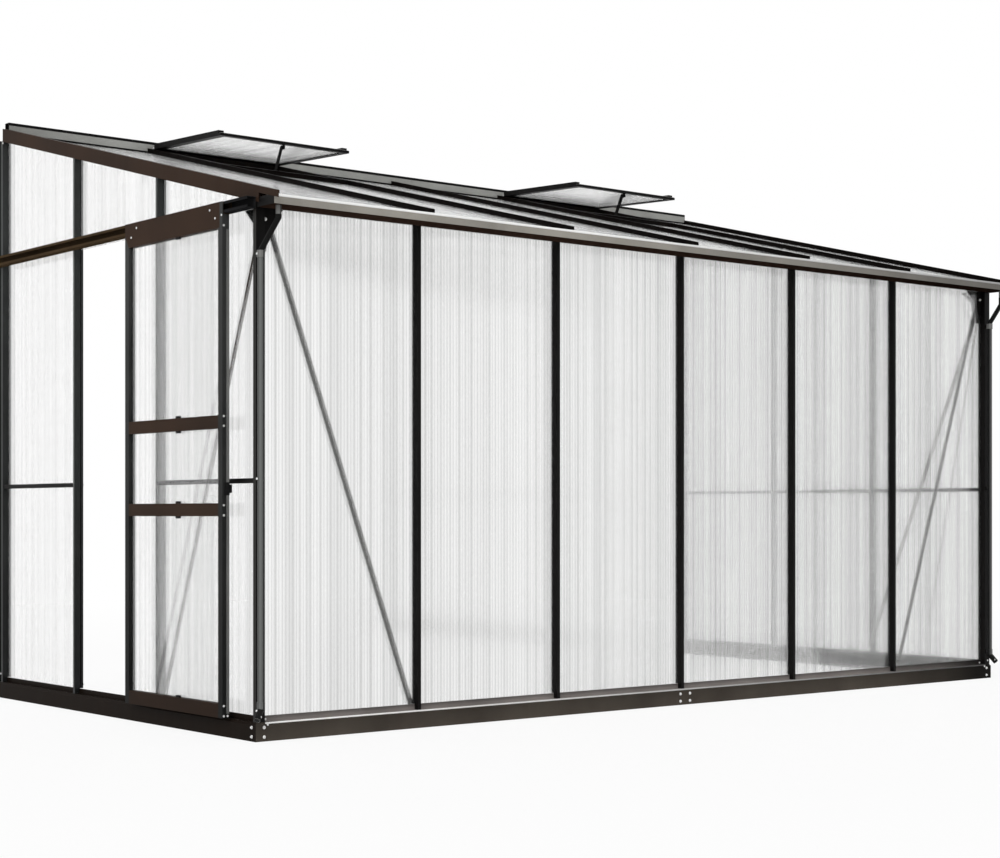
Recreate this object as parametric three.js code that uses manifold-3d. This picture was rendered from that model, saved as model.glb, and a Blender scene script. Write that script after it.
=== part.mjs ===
import * as THREE from 'three';
import { mergeVertices } from 'three/addons/utils/BufferGeometryUtils.js';
import Module from 'manifold-3d';

// A lean-to greenhouse: dark aluminium glazing bars and twin-wall sheets, built against a house wall.
// Millimetres, +Z up, +X along the front wall, +Y towards the house wall.

const wasm = await Module();
wasm.setup();

// Driving dimensions
const bayPitch = 610; // centre to centre of the glazing bars, on the walls and on the roof
const frontBays = 6;
const sideBays = 3;
const ventBays = [1, 4]; // roof bays that open, counted from 0 at the left
const endInset = 27.5; // base's outer face to the first centre line of the bars
const eaveHeight = 1673; // underside of the eave beam above the ground
const roofAboveEave = 60; // top of the roof bars, above the outer face of the front base rail
const roofSlope = 0.2513; // rise of the roof over its run
const fitGap = 0.3; // between pieces that rest on each other
const edgeGap = 1; // between a sheet's edge and the bar that holds it, for expansion
const cutOverrun = 5; // how far a cutting solid runs past what it cuts
const roundSides = 12;

// Glazing bars: a deep fin outside, a slot for the sheet, a core inside
const barFace = 4.3; // fins stand this far behind the outer face of the base
const barWidth = 13.5;
const finDepth = 20.9;
const sheetThickness = 4;
const webThickness = 2.5;
const coreDepth = 8;
const postFrontLeg = 32.2; // outer legs of the corner posts, on the front and on the side
const postSideLeg = 17.7;
const postFrontGrip = 5.2; // how far a leg laps over the edge of its sheet
const postSideGrip = 7;
const postCoreLeg = 37.7;
const wallFlange = 3;

// Base rails: an open channel with a bevelled edge, a ledge and two lips for the sheets
const ledgeHeight = 60;
const baseDepth = 40;
const baseWall = 2.5;
const bevelRun = 5;
const bevelDrop = 8;
const frontLip = 2.2;
const frontLipHeight = 18;
const backLip = 2.5;
const backLipHeight = 10;

// Roof bars, verges and ridge, measured square to the slope
const roofFinDepth = 17.4;
const roofBarDepth = 30;
const barOverhang = 72; // bars past the outer face of the front base rail
const sheetOverhang = 80;
const vergeOverhang = 123;
const vergeDepth = 48.5;
const vergeSlotTop = 26; // from the top of the verge down to the slot for the side sheets
const vergeInnerLeg = 3.2;
const vergeTailStart = 10; // forward of this the verge's outer skin is shallower
const vergeTailDepth = 20;
const vergeSkin = 2.7;
const vergeNoseStart = 60; // forward of this the verge is cut higher, over the gutter's lip
const vergeNoseDepth = 11;
const ridgeDepth = 33;
const ridgePlate = 3;
const ridgeInset = 30;
const ridgeRise = 27.5; // ridge above the roof bars where they meet it
const ridgeFaceDrop = 24; // ridge's front face below the top of the roof bars
const ridgeFoot = 48.5; // wall plate below the line of the roof bars
const ridgeShelf = 20;
const shelfThickness = 3;

// Gutter and downpipes
const gutterReach = 95;
const gutterBelowEave = 6;
const gutterHeight = 30;
const gutterWall = 2;
const gutterBack = 2;
const gutterBackHeight = 33;
const gutterLip = 7;
const gutterBevelRun = 3;
const gutterBevelDrop = 7;
const eaveSlotDepth = 10;
const eaveFillet = 10;
const sheetTopGap = 3;
const outletY = 70;
const outletRadius = 9;
const outletBore = 7;
const outletDrop = 28;
const pipeRadius = 11;
const elbowRadius = 9.5;
const collarRadius = 13;
const pipeY = 16;
const pipeBelowEave = 165;
const pipeCollar = 22;
const pipeFoot = 104;
const shoeOut = 23;
const shoeForward = 15;
const shoeDrop = 32;
const leftPipe = { outletX: 39.5, pipeX: 9, bendDrop: 10 };
const rightPipe = { outletX: 24, pipeX: 31, bendDrop: 30 };

// Roof vents, measured square to the slope from the hinge axis
const hingeToWall = 65;
const hingeRise = 4; // axis above the roof bars
const barrelRadius = 3.5;
const ventEdgeInset = 6; // a vent's side, in from the centre line of the bar
const ventLength = 526;
const ventBodyStart = 2;
const ventRail = 24;
const ventRailHeight = 22;
const ventFreeRail = 18;
const ventFreeHeight = 10;
const ventLip = 6; // inner lip of the rails, under the sheet
const ventLipThickness = 2;
const ventOpenDegrees = 11.6;
const curbSide = 20;
const curbSill = 24;
const sillUnderVent = 32; // inner edge of the sill, back from the vent's free edge
const curbBack = 26;
const hingeRailStart = 4.5;
const hingeRailWidth = 3;
const hingeRailRise = 7;

// Vent stays
const stayLength = 220;
const stayWidth = 18;
const stayThickness = 3;
const stayPinRadius = 2.7;
const stayHoleRadius = 3;
const stayHoles = 5;
const stayHolePitch = 42;
const stayLeanDegrees = 27;
const pivotInset = 37; // back from the vent's free edge
const pivotDrop = 13;
const lugWidth = 24;
const lugThickness = 3;
const lugTail = 7;

// Sliding door, hung outside the left wall
const doorOverlap = 23.75; // past each side of the doorway when shut
const doorRestOpening = 475.5; // how far it stands open
const doorGap = 8; // between the door and the base's outer face
const doorThickness = 25;
const doorLift = 4;
const stileWidth = 26;
const bottomRail = 45;
const topRail = 41.5;
const midRail = 41.75;
const midRailHeights = [723.75, 1003];
const panePocket = 8;
const hangerThickness = 3;
const trackHeight = 36;
const trackBelowEave = 10;
const trackWall = 2;
const trackDepth = 32;
const trackLipLow = 9;
const trackSlot = 18;
const trackEndGap = 2;
const trackToDoor = 4;
const rollerRadius = 11.5;
const rollerWidth = 14;
const rollerChamfer = 1.5;
const rollerInset = 79;
const axleRadius = 3;
const axleGap = 0.3;
const axleEnd = 2.5;
const lipToRoller = 4;

// Corner braces: a gusset plate and a flat bar on each wall
const braceWidth = 20;
const braceThickness = 2;
const gussetHeight = 138;
const gussetFoot = 22;
const gussetKnee = 39; // the gusset's lower corner, from the wall post's inner corner
const gussetKneeDrop = 45;
const gussetReach = 87;
const sideBrace = { topIn: 51.8, drop: 103, footIn: 639, foot: 101 };
const leftFrontBrace = { topIn: 71.6, drop: 53, footIn: 629, foot: 66 };
const rightFrontBrace = { topIn: 49, drop: 36, footIn: 572, foot: 102 };

// Derived places
const roofHeight = eaveHeight + roofAboveEave;
const gutterLow = eaveHeight - gutterBelowEave;
const trackLow = eaveHeight - trackBelowEave;
const pipeTop = eaveHeight - pipeBelowEave;
const ventWidth = bayPitch - 2 * ventEdgeInset;
const sillToHinge = ventLength - sillUnderVent;
const pivotBack = ventLength - pivotInset;
const length = frontBays * bayPitch + 2 * endInset;
const depth = sideBays * bayPitch + 2 * endInset;
const slotWidth = sheetThickness + 2 * fitGap;
const finBack = barFace + finDepth;
const coreFront = finBack + slotWidth;
const barBack = coreFront + coreDepth;
const sheetFront = finBack + fitGap;
const sheetBack = coreFront - fitGap;
const halfBar = barWidth / 2;
const halfWeb = webThickness / 2;
const frontLegEnd = barFace + postFrontLeg;
const sideLegEnd = barFace + postSideLeg;
const frontSlotEnd = frontLegEnd - postFrontGrip;
const sideSlotEnd = sideLegEnd - postSideGrip;
const coreEnd = barFace + postCoreLeg;
const standHeight = ledgeHeight + fitGap;
const plumb = Math.hypot(1, roofSlope); // square size to plumb size
const roofTop = (y) => roofHeight + y * roofSlope;
const roofFinLow = -roofFinDepth * plumb;
const roofCoreTop = roofFinLow - slotWidth * plumb;
const roofBarLow = -roofBarDepth * plumb;
const roofSheetTop = roofFinLow - fitGap * plumb;
const roofSheetLow = roofSheetTop - sheetThickness * plumb;
const vergeLow = -vergeDepth * plumb;
const ridgeFront = depth - ridgeDepth;
const barCentre = (bay) => endInset + bay * bayPitch;

// Finishes
const charcoal = { color: 0x26241f, roughness: 0.5, metalness: 0.35 };
const brown = { color: 0x3b302a, roughness: 0.55, metalness: 0.25 };
const silver = { color: 0x8d8a82, roughness: 0.45, metalness: 0.4 };
const glazing = { color: 0xd9dcd8, roughness: 0.3, metalness: 0, transparent: true, opacity: 0.55 };
const nylon = { color: 0x1c1c1c, roughness: 0.6, metalness: 0 };

const greenhouse = new THREE.Group();
greenhouse.position.set(-length / 2, (vergeOverhang - depth) / 2, 0);

function addPart(name, geometry, finish, parent = greenhouse) {
  const mesh = new THREE.Mesh(geometry, new THREE.MeshStandardMaterial(finish));
  mesh.name = name;
  parent.add(mesh);
  return mesh;
}

// An outline pushed along X, Y or Z: it is given in (y, z), (x, z) or (x, y)
function prism(outline, axis, from, to, holes = []) {
  const path = (points) => points.map(([a, b]) => new THREE.Vector2(a, b));
  const shape = new THREE.Shape(path(outline));
  for (const hole of holes) shape.holes.push(new THREE.Path(path(hole)));
  const geometry = new THREE.ExtrudeGeometry(shape, { depth: to - from, bevelEnabled: false });
  const [x, y, z] = [new THREE.Vector3(1, 0, 0), new THREE.Vector3(0, 1, 0), new THREE.Vector3(0, 0, 1)];
  const turn = new THREE.Matrix4();
  if (axis === 'x') turn.makeBasis(y, z, x);
  if (axis === 'y') turn.makeBasis(x, z, y.clone().negate());
  geometry.translate(0, 0, axis === 'y' ? -to : from);
  return geometry.applyMatrix4(turn);
}

function rectangle(a0, a1, b0, b1) {
  return [[a0, b0], [a1, b0], [a1, b1], [a0, b1]];
}

function block(x0, x1, y0, y1, z0, z1) {
  return prism(rectangle(x0, x1, y0, y1), 'z', z0, z1);
}

function circle(a, b, radius) {
  const points = [];
  for (let i = 0; i < roundSides; i += 1) {
    const angle = (2 * Math.PI * i) / roundSides;
    points.push([a + radius * Math.cos(angle), b + radius * Math.sin(angle)]);
  }
  return points;
}

// A round bar between two points
function rod(start, end, radius) {
  const along = new THREE.Vector3().subVectors(end, start);
  const geometry = new THREE.CylinderGeometry(radius, radius, along.length(), roundSides);
  const up = new THREE.Vector3(0, 1, 0);
  geometry.applyQuaternion(new THREE.Quaternion().setFromUnitVectors(up, along.clone().normalize()));
  const middle = start.clone().add(end).divideScalar(2);
  return geometry.translate(middle.x, middle.y, middle.z);
}

function reshape(geometry, move) {
  const position = geometry.attributes.position;
  const point = new THREE.Vector3();
  for (let i = 0; i < position.count; i += 1) {
    point.fromBufferAttribute(position, i);
    move(point);
    position.setXYZ(i, point.x, point.y, point.z);
  }
  geometry.computeVertexNormals();
  return geometry;
}

// Lifts a level piece onto the roof's slope, with its ends left plumb
function ontoSlope(geometry) {
  return reshape(geometry, (point) => { point.z += roofTop(point.y); });
}

// Cuts the top of an upright along the roof's slope; the top is given for y = 0
function slopeTop(geometry, top) {
  return reshape(geometry, (point) => { if (point.z > top - cutOverrun) point.z += point.y * roofSlope; });
}

function mirrored(geometry) {
  const flat = geometry.index ? geometry.toNonIndexed() : geometry.clone();
  const position = flat.attributes.position;
  const corner = [new THREE.Vector3(), new THREE.Vector3(), new THREE.Vector3()];
  for (let i = 0; i < position.count; i += 3) {
    corner.forEach((point, k) => point.fromBufferAttribute(position, i + k));
    [corner[0], corner[2], corner[1]].forEach((point, k) => {
      position.setXYZ(i + k, length - point.x, point.y, point.z);
    });
  }
  flat.computeVertexNormals();
  return flat;
}

function toSolid(geometry) {
  const bare = geometry.clone();
  bare.deleteAttribute('normal');
  bare.deleteAttribute('uv');
  const merged = mergeVertices(bare);
  const vertProperties = Float32Array.from(merged.attributes.position.array);
  const triVerts = Uint32Array.from(merged.index.array);
  return new wasm.Manifold(new wasm.Mesh({ numProp: 3, vertProperties, triVerts }));
}

function fromSolid(solid) {
  const mesh = solid.getMesh();
  const geometry = new THREE.BufferGeometry();
  geometry.setAttribute('position', new THREE.BufferAttribute(Float32Array.from(mesh.vertProperties), 3));
  geometry.setIndex(new THREE.BufferAttribute(Uint32Array.from(mesh.triVerts), 1));
  const flat = geometry.toNonIndexed();
  flat.computeVertexNormals();
  return flat;
}

function join(...pieces) {
  return fromSolid(pieces.map(toSolid).reduce((whole, piece) => whole.add(piece)));
}

function cut(piece, ...cutters) {
  return fromSolid(cutters.map(toSolid).reduce((whole, cutter) => whole.subtract(cutter), toSolid(piece)));
}

// Base rails, mitred at the front corners
function baseOutline() {
  const underLedge = ledgeHeight - baseWall;
  const lipTop = ledgeHeight + frontLipHeight;
  const backTop = ledgeHeight + backLipHeight;
  return [
    [0, 0], [baseDepth, 0], [baseDepth, baseWall], [baseWall, baseWall],
    [baseWall, ledgeHeight - bevelDrop], [baseWall + bevelRun, underLedge],
    [baseDepth, underLedge], [baseDepth, ledgeHeight],
    [coreFront + backLip, ledgeHeight], [coreFront + backLip, backTop],
    [coreFront, backTop], [coreFront, ledgeHeight],
    [finBack, ledgeHeight], [finBack, lipTop], [finBack - frontLip, lipTop],
    [finBack - frontLip, ledgeHeight], [bevelRun, ledgeHeight], [0, ledgeHeight - bevelDrop],
  ];
}

function baseRails() {
  const mitreGap = fitGap / Math.SQRT2;
  const front = reshape(prism(baseOutline(), 'x', 0, length), (point) => {
    point.x = point.x < length / 2 ? point.y + mitreGap : length - point.y - mitreGap;
  });
  const side = reshape(prism(baseOutline(), 'y', 0, depth), (point) => {
    if (point.y < depth / 2) point.y = point.x + mitreGap;
  });
  const seat = coreEnd + fitGap; // the lips stop short of the corner posts
  const overLedge = [ledgeHeight, ledgeHeight + frontLipHeight + cutOverrun];
  const leftSeat = block(-cutOverrun, seat, -cutOverrun, seat, ...overLedge);
  const rails = [cut(front, leftSeat, mirrored(leftSeat)), cut(side, leftSeat)];
  addPart('base_front', rails[0], brown);
  addPart('base_left', rails[1], charcoal);
  addPart('base_right', mirrored(rails[1]), charcoal);
}

// An H-shaped glazing bar, its fin at the low side of the second axis
function barOutline(centre, upright) {
  const outline = [
    [-halfBar, barFace], [halfBar, barFace], [halfBar, finBack], [halfWeb, finBack],
    [halfWeb, coreFront], [halfBar, coreFront], [halfBar, barBack], [-halfBar, barBack],
    [-halfBar, coreFront], [-halfWeb, coreFront], [-halfWeb, finBack], [-halfBar, finBack],
  ];
  return outline.map(([across, inward]) => (upright ? [centre + across, inward] : [inward, centre + across]));
}

// The foot of an upright: its fin stands on the ledge, the rest is cut clear of the lips
const footTop = ledgeHeight + frontLipHeight + fitGap;
const footIn = finBack - frontLip - fitGap;

function frontMullions() {
  for (let bay = 1; bay < frontBays; bay += 1) {
    const x = barCentre(bay);
    const bar = prism(barOutline(x, true), 'z', standHeight, eaveHeight - fitGap);
    const foot = block(x - barWidth, x + barWidth, footIn, barBack + cutOverrun, 0, footTop);
    addPart(`front_mullion_${bay}`, cut(bar, foot), charcoal);
  }
}

const sideTop = roofHeight + vergeLow - fitGap; // tops of the side uprights, for y = 0

function sideUpright(outline) {
  const bar = slopeTop(prism(outline, 'z', standHeight, sideTop), sideTop);
  return cut(bar, block(footIn, coreEnd + cutOverrun, -cutOverrun, depth + cutOverrun, 0, footTop));
}

function cornerPost() {
  const outline = [
    [barFace, barFace], [frontLegEnd, barFace], [frontLegEnd, finBack], [frontSlotEnd, finBack],
    [frontSlotEnd, coreFront], [coreEnd, coreFront], [coreEnd, barBack], [coreFront, barBack],
    [coreFront, sideSlotEnd], [finBack, sideSlotEnd], [finBack, sideLegEnd], [barFace, sideLegEnd],
  ];
  return slopeTop(prism(outline, 'z', standHeight, sideTop), sideTop);
}

function wallPost() {
  const centre = barCentre(sideBays);
  const outline = [
    [barFace, centre - halfBar], [finBack, centre - halfBar], [finBack, centre - halfWeb],
    [coreFront, centre - halfWeb], [coreFront, centre - halfBar], [barBack, centre - halfBar],
    [barBack, depth], [barFace, depth], [barFace, depth - wallFlange], [finBack, depth - wallFlange],
    [finBack, centre + halfBar], [barFace, centre + halfBar],
  ];
  return sideUpright(outline);
}

function sideFrames() {
  addPart('corner_post_left', cornerPost(), charcoal);
  addPart('corner_post_right', mirrored(cornerPost()), charcoal);
  addPart('wall_post_left', wallPost(), charcoal);
  addPart('wall_post_right', mirrored(wallPost()), charcoal);
  for (let bay = 1; bay < sideBays; bay += 1) {
    const stud = sideUpright(barOutline(barCentre(bay), false));
    addPart(`left_stud_${bay}`, stud, charcoal);
    addPart(`right_stud_${bay}`, mirrored(stud), charcoal);
  }
}

// The trough reaches from verge to verge; the beam behind it carries the roof between the corner posts
function eaveGutter() {
  const floor = gutterLow + gutterWall;
  const top = gutterLow + gutterHeight;
  const face = -gutterReach;
  const faceOutline = [
    [face, gutterLow], [face + gutterWall, gutterLow], [face + gutterWall, top - gutterBevelDrop],
    [face + gutterWall + gutterBevelRun, top - gutterWall], [face + gutterLip, top - gutterWall],
    [face + gutterLip, top], [face + gutterBevelRun, top], [face, top - gutterBevelDrop],
  ];
  const start = barFace + vergeSkin + fitGap;
  const trough = [
    prism(faceOutline, 'x', start, length - start),
    block(start, length - start, face, gutterBack, gutterLow, floor),
    block(start, length - start, 0, gutterBack, gutterLow, gutterLow + gutterBackHeight),
  ];
  const endCap = (x) => block(x, x + gutterWall, face, gutterBack, gutterLow, top);
  const beamStart = coreEnd + fitGap;
  const beamTop = (y) => roofTop(y) + roofBarLow - fitGap * plumb;
  const beamFoot = (y) => roofTop(y) + vergeLow;
  const slotTop = eaveHeight + eaveSlotDepth;
  const beamOutline = [
    [0, eaveHeight], [finBack, eaveHeight], [finBack, slotTop], [coreFront, slotTop],
    [coreFront, eaveHeight], [barBack, eaveHeight], [barBack, beamTop(barBack)], [0, beamTop(0)],
  ];
  const beam = prism(beamOutline, 'x', beamStart, length - beamStart);
  const tongueStart = coreFront + vergeInnerLeg + fitGap;
  const tongueOutline = [
    [gutterBack, beamFoot(gutterBack)], [barBack, beamFoot(barBack)],
    [barBack, beamTop(barBack)], [gutterBack, beamTop(gutterBack)],
  ];
  const tongue = prism(tongueOutline, 'x', tongueStart, length - tongueStart);
  const fillets = [];
  for (let bay = 0; bay < frontBays; bay += 1) {
    const left = bay === 0 ? beamStart : barCentre(bay) + halfBar + fitGap;
    const right = bay === frontBays - 1 ? length - beamStart : barCentre(bay + 1) - halfBar - fitGap;
    fillets.push(ontoSlope(block(
      left, right, gutterBack, gutterBack + eaveFillet, roofBarLow - coreDepth, roofSheetLow - fitGap,
    )));
  }
  const outletX = [leftPipe.outletX, length - rightPipe.outletX];
  const spigot = (x, radius, from, to) => prism(circle(x, -outletY, radius), 'z', from, to);
  const whole = join(
    ...trough, endCap(start), endCap(length - start - gutterWall), beam, tongue, ...fillets,
    ...outletX.map((x) => spigot(x, outletRadius, gutterLow - outletDrop, floor)),
  );
  return cut(whole, ...outletX.map((x) => spigot(
    x, outletBore, gutterLow - outletDrop - cutOverrun, floor + cutOverrun,
  )));
}

function ridge() {
  const low = roofTop(depth) - ridgeFoot * plumb;
  const top = roofTop(ridgeFront) + ridgeRise;
  const faceLow = roofTop(ridgeFront) - ridgeFaceDrop * plumb;
  const start = ridgeInset;
  const end = length - ridgeInset;
  const backPlate = block(start, end, depth - ridgePlate, depth, low, top);
  const cover = block(start, end, ridgeFront, depth, top - ridgePlate, top);
  const face = block(start, end, ridgeFront, ridgeFront + ridgePlate, faceLow, top);
  const shelfTop = roofBarLow - fitGap * plumb;
  const shelf = ontoSlope(block(
    coreEnd + fitGap, length - coreEnd - fitGap, ridgeFront - ridgeShelf, depth - ridgePlate / 2,
    shelfTop - shelfThickness * plumb, shelfTop,
  ));
  return join(backPlate, cover, face, shelf);
}

function roofBars() {
  for (let bay = 1; bay < frontBays; bay += 1) {
    const x = barCentre(bay);
    const outline = [
      [x - halfBar, 0], [x - halfBar, roofFinLow], [x - halfWeb, roofFinLow], [x - halfWeb, roofCoreTop],
      [x - halfBar, roofCoreTop], [x - halfBar, roofBarLow], [x + halfBar, roofBarLow],
      [x + halfBar, roofCoreTop], [x + halfWeb, roofCoreTop], [x + halfWeb, roofFinLow],
      [x + halfBar, roofFinLow], [x + halfBar, 0],
    ];
    addPart(`roof_bar_${bay}`, ontoSlope(prism(outline, 'y', -barOverhang, ridgeFront - fitGap)), charcoal);
  }
}

// A verge bar caps the edge of the roof and holds the top edges of the side sheets
function vergeBar() {
  const innerLegEnd = coreFront + vergeInnerLeg;
  const slotTop = -vergeSlotTop * plumb;
  const outline = [
    [barFace, 0], [barFace, vergeLow], [finBack, vergeLow], [finBack, slotTop],
    [coreFront, slotTop], [coreFront, vergeLow], [innerLegEnd, vergeLow], [innerLegEnd, roofBarLow],
    [coreEnd, roofBarLow], [coreEnd, roofCoreTop], [frontSlotEnd, roofCoreTop],
    [frontSlotEnd, roofFinLow], [frontLegEnd, roofFinLow], [frontLegEnd, 0],
  ];
  const bar = prism(outline, 'y', -vergeOverhang, ridgeFront - fitGap);
  const tip = -vergeOverhang - cutOverrun;
  const skinBack = barFace + vergeSkin;
  const wide = coreEnd + cutOverrun;
  const low = vergeLow - cutOverrun;
  const overGutter = block(skinBack, wide, tip, barFace - fitGap, low, -vergeTailDepth * plumb);
  const tail = block(0, wide, tip, -vergeTailStart, low, -vergeTailDepth * plumb);
  const nose = block(skinBack, wide, tip, -vergeNoseStart, low, -vergeNoseDepth * plumb);
  const pastSheet = block(skinBack, wide, tip, -sheetOverhang, low, cutOverrun);
  return ontoSlope(cut(bar, overGutter, tail, nose, pastSheet));
}

function roofFrame() {
  addPart('eave_gutter', eaveGutter(), silver);
  addPart('ridge_plate', ridge(), silver);
  roofBars();
  addPart('verge_bar_left', vergeBar(), brown);
  addPart('verge_bar_right', mirrored(vergeBar()), brown);
}

// Sheet edges in a bay: beside a bar's web, or at the given places in the end bays
function bayEdges(bay, bays, first, last) {
  const low = bay === 0 ? first : barCentre(bay) + halfWeb;
  const high = bay === bays - 1 ? last : barCentre(bay + 1) - halfWeb;
  return [low + edgeGap, high - edgeGap];
}

function frontSheets() {
  const top = eaveHeight + eaveSlotDepth - sheetTopGap;
  for (let bay = 0; bay < frontBays; bay += 1) {
    const [left, right] = bayEdges(bay, frontBays, frontSlotEnd, length - frontSlotEnd);
    addPart(`front_panel_${bay + 1}`, block(left, right, sheetFront, sheetBack, standHeight, top), glazing);
  }
}

function sideSheet(bay, bottom) {
  const [near, far] = bayEdges(bay, sideBays, sideSlotEnd, barCentre(sideBays) - halfWeb);
  const top = (y) => roofTop(y) - vergeSlotTop * plumb - sheetTopGap;
  const outline = [[near, bottom], [far, bottom], [far, top(far)], [near, top(near)]];
  return prism(outline, 'x', sheetFront, sheetBack);
}

function sideSheets() {
  const overDoor = trackLow + trackWall + fitGap;
  addPart('left_panel_front', sideSheet(0, standHeight), glazing);
  addPart('left_panel_over_door', sideSheet(1, overDoor), glazing);
  addPart('left_panel_rear', sideSheet(2, standHeight), glazing);
  addPart('right_panel_front', mirrored(sideSheet(0, standHeight)), glazing);
  addPart('right_panel_middle', mirrored(sideSheet(1, standHeight)), glazing);
  addPart('right_panel_rear', mirrored(sideSheet(2, standHeight)), glazing);
}

const sillInner = depth - hingeToWall - sillToHinge;

function roofSheets() {
  for (let bay = 0; bay < frontBays; bay += 1) {
    const [left, right] = bayEdges(bay, frontBays, frontSlotEnd, length - frontSlotEnd);
    const upper = ventBays.includes(bay) ? sillInner - curbSill : ridgeFront;
    const sheet = block(left, right, -sheetOverhang, upper - edgeGap, roofSheetLow, roofSheetTop);
    addPart(`roof_panel_${bay + 1}`, ontoSlope(sheet), glazing);
  }
}

// The fixed frame of a roof opening, between two roof bars
function ventCurb(bay) {
  const left = barCentre(bay) + halfBar + fitGap;
  const right = barCentre(bay + 1) - halfBar - fitGap;
  const axis = depth - hingeToWall;
  const back = ridgeFront - fitGap;
  const hole = rectangle(left + curbSide, right - curbSide, sillInner, axis - curbBack);
  const ring = prism(rectangle(left, right, sillInner - curbSill, back), 'z', roofBarLow, 0, [hole]);
  const hingeRail = block(
    left, right, axis + hingeRailStart, axis + hingeRailStart + hingeRailWidth,
    -hingeRailRise, hingeRailRise,
  );
  return ontoSlope(join(ring, hingeRail));
}

// Vents lie in a frame of their own: origin on the hinge axis, -Y down the slope, +Z square to the roof
const ventHalf = ventWidth / 2;
const ventLow = fitGap - hingeRise;

function ventFrame() {
  const inside = ventHalf - ventRail;
  const sideFront = ventFreeRail - ventLength;
  const back = -ventBodyStart;
  const backRail = block(-ventHalf, ventHalf, back - ventRail, back, ventLow, ventLow + ventRailHeight);
  const rail = (from, to) => block(from, to, sideFront - fitGap, back, ventLow, ventLow + ventRailHeight);
  const freeRail = block(-ventHalf, ventHalf, -ventLength, sideFront, ventLow, ventLow + ventFreeHeight);
  const lipHole = rectangle(
    ventLip - inside, inside - ventLip, sideFront + ventLip, back - ventRail - ventLip,
  );
  const lip = prism(
    rectangle(-inside - ventLip, inside + ventLip, sideFront - ventLip, back - ventRail + ventLip),
    'z', ventLow, ventLow + ventLipThickness, [lipHole],
  );
  const barrel = rod(new THREE.Vector3(-ventHalf, 0, 0), new THREE.Vector3(ventHalf, 0, 0), barrelRadius);
  const neck = block(-ventHalf, ventHalf, back - fitGap, 0, -fitGap, barrelRadius / 2);
  const lugStart = stayThickness / 2 + fitGap;
  const lug = block(
    lugStart, lugStart + lugThickness, sideFront - fitGap, sideFront + lugWidth,
    -pivotDrop - lugTail, ventLow + ventLipThickness / 2,
  );
  const pin = rod(
    new THREE.Vector3(-stayThickness, -pivotBack, -pivotDrop),
    new THREE.Vector3(lugStart + lugThickness / 2, -pivotBack, -pivotDrop),
    stayPinRadius,
  );
  return join(
    backRail, rail(-ventHalf, -inside), rail(inside, ventHalf), freeRail, lip, barrel, neck, lug, pin,
  );
}

function ventSheet() {
  const half = ventHalf - ventRail - fitGap;
  const low = ventLow + ventLipThickness + fitGap;
  return block(
    -half, half, ventFreeRail + fitGap - ventLength, -ventBodyStart - ventRail - fitGap,
    low, low + sheetThickness,
  );
}

// A stay is a flat bar with a row of peg holes; it hangs from its pivot at the origin
function ventStay() {
  const half = stayWidth / 2;
  const tail = stayLength - stayWidth;
  const outline = [];
  for (let i = 0; i <= roundSides / 2; i += 1) {
    const angle = (2 * Math.PI * i) / roundSides;
    outline.push([half * Math.cos(angle), half * Math.sin(angle)]);
  }
  for (let i = 0; i <= roundSides / 2; i += 1) {
    const angle = (2 * Math.PI * i) / roundSides;
    outline.push([-half * Math.cos(angle), -tail - half * Math.sin(angle)]);
  }
  const holes = [];
  for (let i = 0; i < stayHoles; i += 1) holes.push(circle(0, -i * stayHolePitch, stayHoleRadius));
  return prism(outline, 'x', -stayThickness / 2, stayThickness / 2, holes);
}

function vents() {
  const hingeY = depth - hingeToWall;
  const hingeZ = roofTop(hingeY) + hingeRise * plumb;
  const lean = Math.atan(roofSlope) - THREE.MathUtils.degToRad(ventOpenDegrees);
  ventBays.forEach((bay, index) => {
    const number = index + 1;
    addPart(`vent_curb_${number}`, ventCurb(bay), charcoal);
    const vent = new THREE.Group();
    vent.position.set((barCentre(bay) + barCentre(bay + 1)) / 2, hingeY, hingeZ);
    vent.rotation.x = lean;
    greenhouse.add(vent);
    addPart(`vent_frame_${number}`, ventFrame(), charcoal, vent);
    addPart(`vent_panel_${number}`, ventSheet(), glazing, vent);
    const pivot = new THREE.Group();
    pivot.position.set(0, -pivotBack, -pivotDrop);
    pivot.rotation.x = THREE.MathUtils.degToRad(stayLeanDegrees) - lean; // its tail leans to the wall
    vent.add(pivot);
    addPart(`vent_stay_${number}`, ventStay(), charcoal, pivot);
  });
}

// Door
const doorFront = barCentre(1) + halfBar - doorOverlap - doorRestOpening;
const doorWidth = bayPitch - barWidth + 2 * doorOverlap;
const doorOuter = -doorGap - doorThickness;
const doorBottom = ledgeHeight + doorLift;
const doorTop = trackLow - trackToDoor;
const trackTop = trackLow + trackHeight;
const trackBack = barFace - fitGap;
const trackFront = trackBack - trackDepth;
const axleHeight = trackLow + trackWall + fitGap + rollerRadius;
const rollerFront = trackFront + trackWall + lipToRoller;

function doorFrame() {
  const back = doorFront + doorWidth;
  const inner = [doorFront + stileWidth, back - stileWidth];
  const sills = [doorBottom + bottomRail, ...midRailHeights.map((height) => height + midRail / 2)];
  const heads = [...midRailHeights.map((height) => height - midRail / 2), doorTop - topRail];
  const windows = sills.map((sill, i) => rectangle(...inner, sill, heads[i]));
  const ring = prism(rectangle(doorFront, back, doorBottom, doorTop), 'x', doorOuter, -doorGap, windows);
  const pocketFront = doorOuter + (doorThickness - sheetThickness) / 2 - fitGap;
  const pocket = block(
    pocketFront, pocketFront + sheetThickness + 2 * fitGap, inner[0] - panePocket, inner[1] + panePocket,
    sills[0] - panePocket, heads.at(-1) + panePocket,
  );
  const hanger = block(doorOuter, doorOuter + hangerThickness, doorFront, back, doorTop - topRail, trackTop);
  const axles = [doorFront + rollerInset, back - rollerInset].map((y) => rod(
    new THREE.Vector3(doorOuter + hangerThickness / 2, y, axleHeight),
    new THREE.Vector3(rollerFront + rollerWidth + axleEnd, y, axleHeight),
    axleRadius,
  ));
  return join(cut(ring, pocket), hanger, ...axles);
}

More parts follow.
